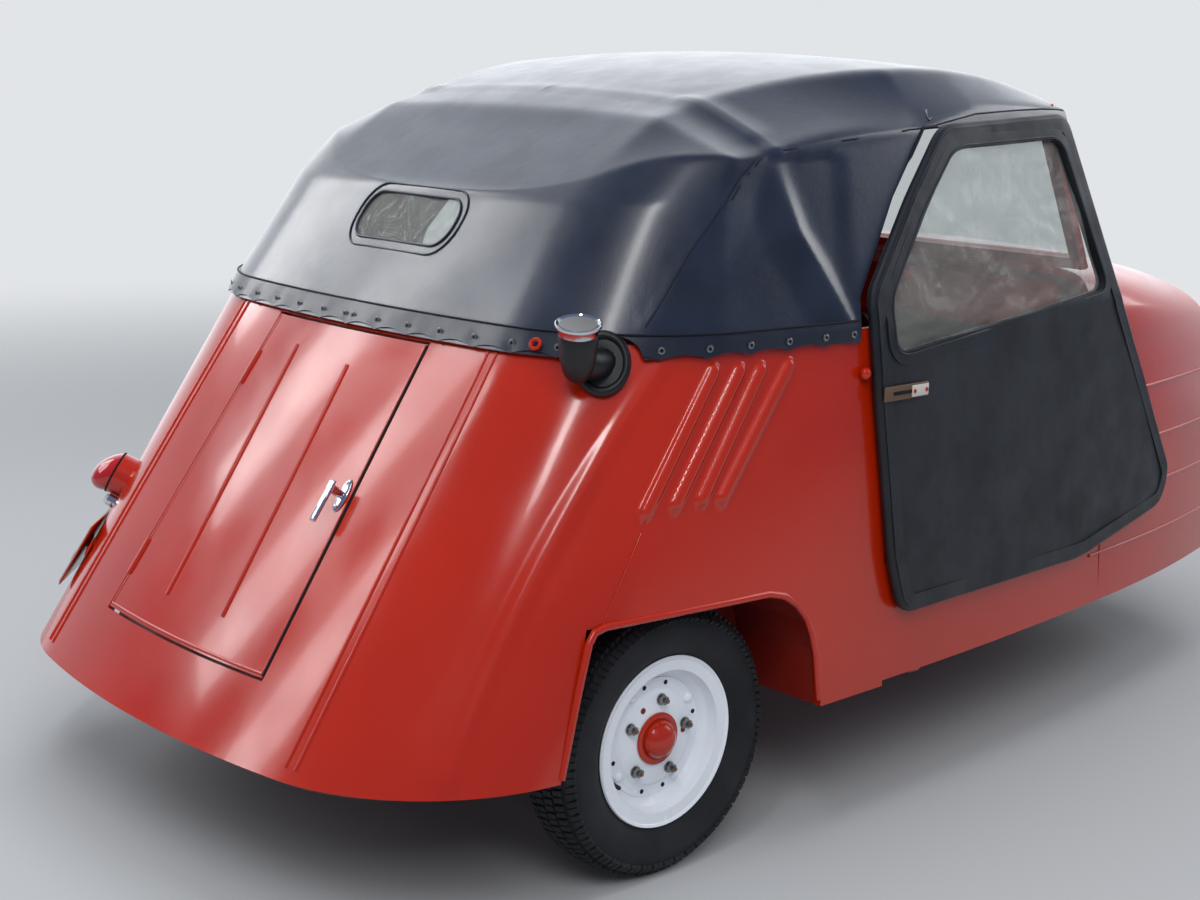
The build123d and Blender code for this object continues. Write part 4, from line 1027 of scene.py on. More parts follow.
@dataclass
class Hood:
    """Canvas hood over its bows, with its seams, hems, eyelets, hooks, header flap and rear window.

    Args:
        thick: Thickness of the canvas.
        eyelets: Scallops of the hem on one side, with an eyelet at each end of one.
        window_radius: Radius of the rear window's corners.
        samples: Points along each section while it is smoothed.
        bend: Length of a section over which its bends are rounded.
        foot: Length at its foot that has rows of its own.
        side_end: Where the hem ends behind the door.
        hem_foot: Height of the hem's scallops at their ends.
        hem_top: Height of the hem's upper edge.
        eyelet_z: Height of the eyelets.
    """

    thick: float = 4
    eyelets: int = 13
    window_radius: float = 34
    samples: int = 400
    bend: float = 40
    foot: float = 40
    side_end: float = -352
    hem_foot: float = 866
    hem_top: float = 904
    eyelet_z: float = 882
    gore: Points = ((-500, -558, 1171), (-545, -562, 1140), (-583, -569, 1104), (-623, -570, 1066),
                    (-659, -568, 1029), (-731, -571, 945), (-757, -571, 916))
    fold: Points = ((-475, -578, 1171), (-450, -602, 1052), (-390, -645, 937), (-360, -662, 872))
    side_seam: Points = ((-460, -560, 1180), (-294, -569, 1197), (-81, -572, 1216), (60, -568, 1238),
                         (200, -560, 1243), (368, -550, 1247))
    edge: Points = ((-350, -660, 872), (-336, -640, 940), (-212, -600, 1100), (-98, -572, 1214), (-58, -571, 1216),
                    (150, -568, 1220), (366, -560, 1224))
    crown: Points = ((-466, -505, 1214), (-464, -430, 1232), (-462, -350, 1240))
    bow: Points = ((-460, -560, 1180), (-466, -478, 1210), (-472, -375, 1254), (-474, -200, 1266), (-474, 0, 1270))

    @staticmethod
    def roof() -> tuple[Array, Array]:
        """Height of the roof along the car, its bends rounded."""
        x0, z0 = ROOF_LINE[-1]
        centre = centre_of((x0, z0), ROOF_CREST, ROOF_FRONT)
        crown = arc_points(centre, (x0, z0), ROOF_FRONT, np.linspace(0, 1, 60))
        xs = np.concatenate([[-1060], [p[0] for p in ROOF_LINE[:-1]], crown[:, 0], [460]])
        zs = np.concatenate([[952], [p[1] for p in ROOF_LINE[:-1]], crown[:, 1], [1262]])
        fine = np.linspace(-1060, 460, 1521)
        kernel = np.hanning(41)
        padded = np.pad(np.interp(fine, xs, zs), 20, mode="edge")
        return fine, np.convolve(padded, kernel / kernel.sum(), mode="valid")

    @staticmethod
    def top(x: Array, y: Array, line: tuple[Array, Array]) -> Array:
        """Height of the roof's flat and of its sloping sides."""
        table = np.array(ROOF_SIDE, float).T
        flat, drop, seam, fall = (np.interp(x, table[0], column) for column in table[1:])
        wide, arched = np.abs(y), smooth((x + 620) / 130)
        drop = drop * arched
        middle = 8 * arched - (8 * arched + drop) * (wide / flat) ** 2
        fall = fall * smooth((x + 730) / 240)
        slope = -drop - (fall - drop) * (wide - flat) / (seam - flat)
        return np.interp(x, *line) + np.where(wide < flat, middle, slope)

    def net(self) -> Array:
        """Net of the left half, its rows from hem to ridge."""
        line = self.roof()
        shares = np.linspace(0, 1, 141)
        heights = np.linspace(868, 1340, 237)
        walls = np.array([[(x, y, z) for x, y in HOOD.course(z, shares)] for z in heights])
        columns = []
        for wall in walls.transpose(1, 0, 2):
            short = self.top(wall[:, 0], wall[:, 1], line) - wall[:, 2]
            stop = int(np.argmax(short <= 0))
            before, after = short[stop - 1], short[stop]
            x, y, _ = wall[stop - 1] + (wall[stop] - wall[stop - 1]) * before / (before - after)
            across = y * (1 - np.linspace(0, 1, 60))
            over = np.stack([np.full(60, x), across, self.top(np.full(60, x), across, line)], axis=1)
            path = np.concatenate([wall[:stop], over])
            run = np.concatenate([[0], np.cumsum(np.linalg.norm(np.diff(path, axis=0), axis=1))])
            even = np.linspace(0, run[-1], self.samples)
            dense = np.stack([np.interp(even, run, path[:, k]) for k in range(3)], axis=1)
            width = max(3, int(self.samples * self.bend / run[-1])) | 1
            kernel = np.hanning(width + 2)[1:-1]
            pad = np.pad(dense, ((width // 2,) * 2, (0, 0)), mode="reflect", reflect_type="odd")
            soft = np.stack([np.convolve(pad[:, k], kernel / kernel.sum(), mode="valid") for k in range(3)], axis=1)
            last = self.samples - 1
            foot = last * min(1, self.foot / run[-1])
            at = np.concatenate([np.linspace(0, foot, 6)[:-1], np.linspace(foot, last, 108)])
            columns.append(np.stack([np.interp(at, np.arange(last + 1), soft[:, k]) for k in range(3)], axis=1))
        return np.array(columns).transpose(1, 0, 2)

    def build(self) -> None:
        """Makes the canvas and what is sewn to it."""
        net = pressed(whole(self.net()), self.folds(), (-0.2, 0, 1.0))
        canvas = Bench.panel("canvas", net, self.thick, (-200, 0, 900))
        canvas.name = "hood_canvas_look"
        seams = self.seams(canvas)
        Bench.trim(canvas, HOOD_EDGE, -900, 900)
        Bench.trim(canvas, ((HOOD_FRONT, 0), (HOOD_FRONT, 1500), (700, 1500), (700, 0)), -900, 900)
        Bench.trim(canvas, self.rounded(*REAR_WINDOW, self.window_radius), -1100, -600, 0)
        Bench.combine(canvas, filler_hole())
        Bench.dress(canvas, CANVAS, 50)
        seat(canvas, "body", "hood_cloth", "hood_canvas")
        hems = [self.hem(side, name) for side, name in SIDES]
        self.declare(canvas, [seams, *hems, self.hooks(), self.header()])
        self.window()

    @staticmethod
    def declare(canvas: Item, sewn: Sequence[Item]) -> None:
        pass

    def folds(self) -> list[Press | Pocket]:
        """Seams and hollows of the canvas, the same on both sides."""
        made = []
        for side in (-1, 1):
            gore, fold, seam, bow = (mirrored(line, -side) for line in (self.gore, self.fold, self.side_seam, self.bow))
            crown, rear = (mirrored(line, -side) for line in (self.crown, ((-300, -575, 1190), (-352, -650, 880))))
            made += [Press(crown, 45, 4.5), Pocket(gore, fold, 13, 70), Press(fold, 17, 4), Press(gore, 9, 1.6, 0.4),
                     Press(seam, 12, 2), Press(bow, 14, 3), Pocket(fold, rear, 5, 40)]
        return made

    def seams(self, canvas: Item) -> Item:
        """Rows of stitches on the canvas, as fine dark cords that lie on it."""
        lines = []
        for side in (-1, 1):
            for path, shifts, size in ((self.gore, (-5, 5), 1.5), (self.side_seam, (0,), 1.5), (self.bow, (9,), 1.5),
                                       (self.edge, (0,), 3.2)):
                for shift in shifts:
                    lines.append((size, [(x + shift, -side * y, z) for x, y, z in path]))
        made = []
        tree = BVHTree.FromObject(canvas, bpy.context.evaluated_depsgraph_get())
        for size, line in lines:
            points = []
            for a, b in zip(line, line[1:]):
                points += [Vector(a).lerp(Vector(b), k / 12) for k in range(12)]
            points.append(Vector(line[-1]))
            path = []
            for point in points:
                spot, normal, _, _ = tree.find_nearest(point * MM)
                away = normal if normal.dot(spot - Vector((-0.2, 0, 0.9))) > 0 else -normal
                path.append((spot + away * 0.0004) / MM)
            made.append(Bench.tube("stitches", path, size, sides=1 if size < 2 else 3))
        piece = Bench.join("hood_seams", made)
        return seat(Bench.dress(piece, THREAD, 80), "body", "hood_cloth")

    def header(self) -> Item:
        """Flap that closes the hood's front edge down to the windscreen's top bar."""
        line = self.roof()

        def place(s: Array, t: Array) -> Array:
            y = 1030 * (s - 0.5)
            high = self.top(np.full(len(y), HOOD_FRONT - 5.0), y, line) - 2.5
            return np.stack([HOOD_FRONT - 5 - 13 * t, y, high + (1238 - high) * t], axis=1)
        piece = Bench.shell("hood_header", 80, 4, place, 2.5, (0, 0, 1200))
        return seat(Bench.dress(piece, CANVAS_EDGE, 60), "body", "hood_cloth")

    @staticmethod
    def hooks() -> Item:
        """Small hook at the hood's edge over each door."""
        made = []
        for side, _ in SIDES:
            hook = [(-86, side * 566, 1246), (-90, side * 571, 1236), (-84, side * 573, 1228), (-76, side * 573, 1231)]
            made.append(Bench.tube("hook", hook, 2.2))
        piece = Bench.join("hood_hooks", made)
        return seat(Bench.dress(piece, STEEL, 60), "body", "hood_cloth")

    @staticmethod
    def rounded(width: float, low: float, high: float, radius: float) -> list[tuple[float, float]]:
        """Outline of a rounded window across the car."""
        points = []
        for cy, cz, start in ((width - radius, high - radius, 0), (-width + radius, high - radius, 90),
                              (-width + radius, low + radius, 180), (width - radius, low + radius, 270)):
            turns = [math.radians(start + a) for a in range(0, 91, 15)]
            points += [(cy + radius * math.cos(turn), cz + radius * math.sin(turn)) for turn in turns]
        return points

    def window(self) -> None:
        """Clear rear window with its sewn border."""
        width, low, high = REAR_WINDOW
        items = []
        for grow, radius, depth in ((-1, self.window_radius, 2.6), (13, self.window_radius + 13, 2.0)):
            edge = self.rounded(width + grow, low - grow, high + grow, radius)
            path = [(HOOD.tip_x(y, z) - 1.0, y, z) for y, z in edge]
            bar = Bench.tube("border", path, depth, True)
            items.append(Bench.dress(bar, CANVAS_EDGE, 60))

        def place(s: Array, t: Array) -> Array:
            y = (2 * s - 1) * (width + 8)
            z = low - 8 + (high - low + 16) * t
            return np.array([(HOOD.tip_x(a, b) + 2.2 + 1.6 * math.sin(a / 31) * math.sin(b / 22), a, b)
                             for a, b in zip(y, z)])
        pane = Bench.shell("pane", 48, 18, place, 1.0, (0, 0, 900))
        items.append(Bench.dress(pane, CLEAR))
        piece = seat(Bench.join("hood_window_look", items), "body", "clear_sheet", "hood_window")

    def hem(self, side: int, name: str) -> Item:
        """Scalloped hem band of one side with its eyelets."""
        count, columns = self.eyelets, 181

        def low(s: float) -> float:
            return self.hem_foot + 7 * abs(math.sin(math.pi * s * count)) ** 0.8
        net = []
        for t in np.linspace(0, 1, 7):
            for s in np.linspace(0, 1, columns):
                z = low(s) + (self.hem_top - low(s)) * t
                x, y = HOOD.course(z, np.array([s]), 0, self.side_end)[0]
                pucker = 2.4 - 1.6 * abs(math.cos(math.pi * s * count)) ** 6 * (1 - t)
                net.append((x, side * y, z, pucker))
        net = np.array(net).reshape(7, columns, 4)
        base, pucker = net[..., :3], net[..., 3:]
        lifted = pressed(base, [Press(((0, 0, -1e4), (0, 0, 1e4)), 1e6, 1, 0.9)], (-0.6, side, 0.3))
        band = base + (lifted - base) * pucker
        strip = Bench.panel("hem", band, 3.4, (-200, 0, 880))
        if side < 0:
            Bench.combine(strip, filler_hole())
        upper = band[6, ::3] + np.array((-1.2, side * 2.6, 0))
        line = Bench.tube("line", [tuple(point) for point in upper], 1.7, sides=2)
        items = [Bench.dress(strip, CANVAS_EDGE, 50), Bench.dress(line, THREAD, 60)]
        for k in range(count + 1):
            s = min(max(k / count, 0.012), 0.985)
            (x0, y0), (x, y), (x1, y1) = HOOD.course(self.eyelet_z, s + np.array([-0.01, 0, 0.01]), 0, self.side_end)
            if side < 0 and math.dist((x, -y), GROMMET[:2]) < 58:
                continue
            out = Vector((y0 - y1, side * (x1 - x0), 0)).normalized()
            out = -out if out.dot(Vector((x + 300, side * y, 0))) < 0 else out
            spot = Vector((x, side * y, self.eyelet_z)) + out * 2.6
            eye = Bench.turned("eyelet", [(0, 2.6), (1.6, 3), (2, 4.4), (1.4, 6), (0, 6.6)], 20)
            Bench.put(eye, moved(spot) @ out.to_track_quat("Y", "Z").to_matrix().to_4x4())
            # Black disc in the eyelet's hole: painted shade of the hole.
            dot = Bench.disc("dot", spot + out * 0.4, out, 3.2, 1.2, 16)
            items += [Bench.dress(eye, STEEL), Bench.paint(dot, BLACK_AND_SHADE)]
        return seat(Bench.join("hood_hem_" + name, items), "body", "hood_cloth")


@dataclass
class Doors:
    """Cloth covered doors with their clear windows.

    Args:
        skin: How far the outer face stands out from the inner one.
        pane: How far the clear sheet does.
        band_out: How far the flat bindings do.
    """

    skin: float = 18
    pane: float = 9
    band_out: float = 21

    def inner(self, x: float, z: float) -> float:
        """Half width of the door's inner face."""
        low, high = DOOR_ROWS[:2] if z <= DOOR_ROWS[1][0] else DOOR_ROWS[1:]
        share = (z - low[0]) / (high[0] - low[0])
        widths = [a + (b - a) * share for a, b in zip(low[1:], high[1:])]
        u = [(x - b) / (a - b) for a, b in ((DOOR_X[0], DOOR_X[1]), (DOOR_X[0], DOOR_X[2]), (DOOR_X[1], DOOR_X[2]))]
        return widths[0] * u[0] * u[1] + widths[1] * (1 - u[0]) * u[2] + widths[2] * (1 - u[1]) * (1 - u[2])

    def faces(self, x: Array, z: Array) -> Array:
        """Half widths of the inner face at many places."""
        return np.array([self.inner(a, b) for a, b in zip(x, z)])

    @staticmethod
    def rounded(outline: Points, radius: float, steps: int = 6) -> list[Vector]:
        """Outline with its corners rounded."""
        made = []
        corners = [Vector(p) for p in outline]
        for k, corner in enumerate(corners):
            back, ahead = (corners[k - 1] - corner), (corners[(k + 1) % len(corners)] - corner)
            reach = min(radius, back.length * 0.45, ahead.length * 0.45)
            a, b = corner + back.normalized() * reach, corner + ahead.normalized() * reach
            made += [a * (1 - t) ** 2 + corner * 2 * t * (1 - t) + b * t * t for t in np.linspace(0, 1, steps)]
        return made

    @staticmethod
    def shifted(outline: Sequence[Vector], inset: float) -> list[Vector]:
        """Closed outline moved in by a distance."""
        made = []
        area = sum(a.x * b.y - b.x * a.y for a, b in zip(outline, [*outline[1:], outline[0]]))
        for k, point in enumerate(outline):
            along = (outline[(k + 1) % len(outline)] - outline[k - 1]).normalized()
            normal = Vector((-along.y, along.x)) * math.copysign(1, area)
            made.append(point + normal * inset)
        return made

    def build(self) -> None:
        """Makes the left door and mirrors it."""
        edge = self.rounded(DOOR_OUTLINE, 30)
        hole = self.rounded(DOOR_WINDOW, 34)

        def place(s: Array, t: Array) -> Array:
            x, z = -334 + 1044 * s, 380 + 856 * t
            sink = 2.2 * np.sin(x / 61 + z / 97) * np.sin(z / 83 - x / 140)
            return np.stack([x, self.faces(x, z) + self.skin + sink, z], axis=1)
        panel = Bench.shell("door", 104, 86, place, 17, (0, 0, 600))
        Bench.trim(panel, edge, 400, 900, kind="INTERSECT")
        Bench.trim(panel, hole, 400, 900)
        Bench.dress(panel, DOOR_CLOTH, 40)
        items = [panel]
        for line, inset, radius, lift in ((edge, 3, 10.5, 9.5), (hole, -6, 3.0, 19)):
            path = [(p.x, self.inner(p.x, p.y) + lift, p.y) for p in self.shifted(line, inset)]
            items.append(Bench.dress(Bench.tube("binding", path, radius, True, 3), DOOR_EDGE, 60))
        items += [self.band(edge, 2, 26), self.band(hole, -3, -24)]
        items += self.knuckles()
        left = Bench.join("door_panel_look_left", items)
        right = Bench.twin(left, "door_panel_look_right", MIRROR)

        def pane_at(s: Array, t: Array) -> Array:
            x, z = -290 + 690 * s, 832 + 368 * t
            wave = 2.0 * np.sin(x / 37 + z / 29) + 1.6 * np.sin(x / 23 - z / 41)
            return np.stack([x, self.faces(x, z) + self.pane + wave, z], axis=1)
        pane = Bench.shell("pane", 110, 60, pane_at, 1.2, (0, 0, 900))
        Bench.trim(pane, self.shifted(hole, -8), 400, 900, kind="INTERSECT")
        Bench.dress(pane, CLEAR, 60)
        pane.name = "door_window_look_left"
        other = Bench.twin(pane, "door_window_look_right", MIRROR)
        for name, door, clear in (("left", left, pane), ("right", right, other)):
            seat(door, "door_" + name, "door_cloth", "door_panel_" + name)
            seat(clear, "door_" + name, "clear_sheet", "door_window_" + name)
        self.hasp()

    def band(self, line: Sequence[Vector], near: float, far: float) -> Item:
        """Flat binding strip between two insets of an outline."""
        pair = [self.shifted(line, near), self.shifted(line, far)]
        count = len(line)

        def place(s: Array, t: Array) -> Array:
            made = []
            for a, b in zip(s, t):
                k = int(round(a * count)) % count
                p = pair[0][k].lerp(pair[1][k], b)
                wave = 0.6 * math.sin(p.x / 9) * math.sin(p.y / 8)
                made.append((p.x, self.inner(p.x, p.y) + self.band_out + wave, p.y))
            return np.array(made)
        item = Bench.shell("band", count, 3, place, 5, (0, 0, 600))
        return Bench.dress(item, DOOR_EDGE, 50)

    @staticmethod
    def knuckles() -> list[Item]:
        """Hinge barrels of the left door, each with its arm."""
        made = []
        for z, out in ((545, -4), (1176, 4)):
            path = barrel_ends((322, 578, 1230), (708, 637, 470), z, 15)
            middle = (path[0] + path[1]) / 2
            made.append(Bench.dress(Bench.tube("knuckle", path, 7, sides=4), STEEL))
            made.append(Bench.dress(Bench.tube("arm", [middle, middle + Vector((-34, out, 0))], 5, sides=3), STEEL))
        return made

    def hasp(self) -> None:
        """Slotted strap and riveted plate at the rear edge of each door."""
        for side, name in SIDES:
            y = self.inner(-250, 778) + 24
            strap = Bench.block("strap", (-255, side * y, 777), (118, 4, 26), 2)
            Bench.paint(strap, HASP)
            # Black block in the strap's slot: painted shade of the hole.
            slot = Bench.block("slot", (-262, side * (y + 2), 777), (60, 3, 6), 1)
            Bench.paint(slot, BLACK_AND_SHADE)
            plate = Bench.block("plate", (-222, side * (y + 3.5), 777), (44, 3, 20), 1)
            Bench.paint(plate, PALE)
            items = [strap, slot, plate]
            for x in (-238, -206):
                items.append(Bench.paint(Bench.ball("rivet", (x, side * (y + 5), 777), (4, 2.5, 4)), RED))
            seat(Bench.soften(Bench.join("door_hasp_" + name, items)), "door_" + name, "door_cloth")


@dataclass
class Wheels:
    """Tyres, rims and hub caps."""

    pitches: int = 52

    def tyre(self) -> Item:
        """Tyre with its tread about the origin, its axle along Y."""
        side = [(-40, 124), (-41, 146)]
        wall = curve_through((-41, 146), (-57, 188), (-47, 219), 6)
        crown = curve_through((-47, 219), (0, 228.5), (47, 219), 8)
        profile = side[:1] + wall + crown[1:-1] + [(-y, r) for y, r in reversed(wall)] + [(40, 124)]
        carcass = Bench.turned("carcass", profile, 120, True)
        items = [Bench.dress(carcass, RUBBER, 60)]
        for y, tilt, width, rise in ((-11, 3, 19, 229), (11, -3, 19, 229), (-32, 9, 18, 226.5), (32, -9, 18, 226.5),
                                     (-49, 42, 17, 214.5), (49, -42, 17, 214.5)):
            for part in (-1, 1):
                lug = Bench.block("lug", (0, 0, 0), (10.2, width, 10), 0.9, 1)
                turn = Matrix.Rotation(math.radians(tilt), 4, "X") @ Matrix.Rotation(math.radians(8), 4, "Z")
                shift = 6.2 * part + (7 if abs(y) == 32 else 0) + 6 * (y > 0)
                place = Matrix.Rotation(shift / 232, 4, "Y") @ moved((0, y, rise - 1.8))
                Bench.put(lug, place @ turn)
                Bench.around(lug, self.pitches)
                items.append(Bench.paint(lug, RUBBER))
        return Bench.join("tyre", items)

    @staticmethod
    def rim(face: float) -> Item:
        """Pressed rim with its bolts and nuts, outer side at +Y."""
        outer = [(46, 141), (47, 144.5), (44, 146), (41, 144.5), (40, 140), (38.5, 125), (24, 122.5), (20, 120),
                 (13, 107), (9, 104.5)]
        inner = [(9, 100), (14, 102), (22, 115), (26, 118), (42.5, 121), (44, 139)]
        flipped = [[(-y, r) for y, r in reversed(half)] for half in (outer, inner)]
        barrel = Bench.turned("barrel", outer + flipped[0] + flipped[1] + inner, 96, True)
        disc = Bench.turned("disc", [(face + out, r) for out, r in (
            (-4, 0), (-4, 101), (3, 102), (3, 84), (4, 82), (7.5, 79), (8.5, 76), (8.5, 58), (9.5, 55), (9.5, 0))], 96)
        items = [Bench.dress(item, RIM_WHITE, 40) for item in (barrel, disc)]
        for angle in (45, 135, 225, 315):
            spot = Wheels.polar(93, angle + 12, face + 3)
            items.append(Bench.dress(Bench.ball("bolt", spot, (9, 6, 9)), RIM_WHITE))
        # Black discs on the rim: painted shade of its holes.
        for angle in (75, 105, 165, 255, 285, 345):
            items.append(Bench.paint(Bench.disc("hole", Wheels.polar(93, angle, face + 3), (0, 1, 0), 4, 1.2, 20),
                                     BLACK_AND_SHADE))
        for k in range(5):
            spot = Wheels.polar(66, 72 * k + 26, face + 9.5)
            for name, lift, radius, depth, sides, finish in (
                    ("washer", 0, 10, 3, 24, STEEL), ("nut", 6, 8.5, 9, 6, STEEL), ("stud", 12, 4.5, 7, 16, STEEL),
                    ("tip", 16, 3.6, 1.5, 16, HASP)):
                part = Bench.disc(name, Vector(spot) + Vector((0, lift, 0)), (0, 1, 0), radius, depth, sides)
                items.append(Bench.dress(part, finish))
        for k in range(3):
            spot = Wheels.polar(62, 120 * k + 60, face + 9.2)
            items.append(Bench.paint(Bench.disc("port", spot, (0, 1, 0), 5, 1.2, 20), DARK_RED))
        stem = Wheels.polar(112, 330, 30)
        items.append(Bench.dress(Bench.disc("stem", stem, (0.2, 1, 0), 3.5, 22, 16), BOOT))
        return Bench.join("rim", items)

    @staticmethod
    def polar(radius: float, degrees: float, y: float) -> tuple[float, float, float]:
        """Point round the axle."""
        angle = math.radians(degrees)
        return radius * math.cos(angle), y, radius * math.sin(angle)

    @staticmethod
    def cap() -> Item:
        """Red hub cap: a flange ring and a dome."""
        base = 21.5
        dome = [(base + 5 + 25 * math.cos(a), 33 * math.sin(a)) for a in np.linspace(math.pi / 2, 0, 12)]
        profile = [(base, 0), (base, 43), (base + 2, 44.5), (base + 5, 44), (base + 6.5, 41), (base + 6, 35), *dome]
        return Bench.dress(Bench.turned("cap", profile, 64), RED, 35)

    def build(self) -> None:
        """Places the three wheels."""
        tyre = self.tyre()
        rim = self.rim(12)
        cap = self.cap()
        drum = Bench.turned("drum", [(-60, 0), (-60, 78), (-55, 82), (-20, 82), (8, 60), (8, 0)], 64)
        Bench.dress(drum, IRON, 40)
        hub = Bench.turned("hub", [(-45, 12), (-45, 40), (-38, 58), (38, 58), (45, 40), (45, 12)], 64)
        Bench.dress(hub, STEEL, 40)
        plain = self.rim(0)
        for side, name in SIDES:
            place = moved(AXLES["rear_" + name])
            if side < 0:
                place = place @ Matrix.Rotation(math.pi, 4, "Z")
            body = "rear_wheel_" + name
            for item, look, slot, node in ((tyre, "rear_tyre_look_", "tyre_rubber", "rear_tyre_"),
                                           (rim, "rear_rim_look_", "rim_paint", "rear_rim_"),
                                           (cap, "rear_hub_cap_look_", "cap_paint", "rear_hub_cap_")):
                piece = Bench.twin(item, look + name, place)
                if item is rim:
                    piece = Bench.join(look + name, [piece, Bench.twin(drum, "drum", place)])
                seat(piece, body, slot, node + name)
        place = moved(AXLES["front"])
        seat(Bench.twin(tyre, "front_tyre_look", place), "front_wheel", "tyre_rubber", "front_tyre")
        front = Bench.join("front_rim_look", [Bench.twin(plain, "rim", place), Bench.twin(hub, "hub", place)])
        seat(front, "front_wheel", "rim_paint", "front_rim")
        for item in (tyre, rim, cap, drum, hub, plain):
            bpy.data.objects.remove(item, do_unlink=True)


@dataclass
class Cabin:
    """Seat cushion and back, puffed by a short cloth simulation.

    Args:
        voxel: Size of the mesh's cells, in metres.
        frames: Length of the simulation.
        puff: Most that a point may move in it, in metres.
    """

    voxel: float = 0.012
    frames: int = 20
    puff: float = 0.014

    def pad(self, name: str, size: Points, round_by: float) -> Item:
        """Padded box about the origin."""
        item = Bench.block(name, (0, 0, 0), [s - 16 for s in size], round_by, 4)
        Bench.change(item, "REMESH", mode="VOXEL", voxel_size=self.voxel)
        start = np.array([v.co for v in item.data.vertices])
        cloth = item.modifiers.new("cloth", "CLOTH")
        cloth.settings.use_pressure, cloth.settings.uniform_pressure_force = True, 4
        cloth.settings.effector_weights.gravity = 0
        for frame in range(1, self.frames + 1):
            bpy.context.scene.frame_set(frame)
        Bench.only(item)
        bpy.ops.object.modifier_apply(modifier=cloth.name)
        bpy.context.scene.frame_set(1)
        shift = np.array([v.co for v in item.data.vertices]) - start
        length = np.linalg.norm(shift, axis=1, keepdims=True) + 1e-9
        shift *= np.minimum(1, self.puff / length)
        item.data.vertices.foreach_set("co", (start + shift).astype(np.float32).ravel())
        item.data.update()
        return item

    def build(self) -> None:
        """Makes the cushion and the back with their sewn channels."""
        cushion = self.pad("cushion", (490, 1080, 130), 34)
        Bench.put(cushion, moved((-115, 0, 505)))
        back = self.pad("back", (110, 1080, 400), 34)
        lean = Matrix.Rotation(math.radians(-14), 4, "Y")
        Bench.put(back, moved((-462, 0, 640)) @ lean)
        for item, name, node in ((cushion, "seat_cushion_look", "seat_cushion"), (back, "seat_back_look", "seat_back")):
            self.channel(item, node)
            item.name = name
            Bench.dress(item, VINYL, 60)
            seat(item, "body", "seat_vinyl", node)

    @staticmethod
    def channel(item: Item, node: str) -> None:
        """Presses sewn channels into a pad."""
        flat = np.array([v.co for v in item.data.vertices])
        lines = np.array([-0.40, -0.27, -0.135, 0.0, 0.135, 0.27, 0.40])
        near = np.abs(flat[:, 1][:, None] - lines).min(axis=1)
        depth = 0.006 * np.clip(1 - near / 0.014, 0, 1) ** 2
        axis = 2 if node == "seat_cushion" else 0
        top = flat[:, axis] > (np.percentile(flat[:, axis], 60))
        flat[top, axis] -= depth[top]
        item.data.vertices.foreach_set("co", flat.astype(np.float32).ravel())
        item.data.update()


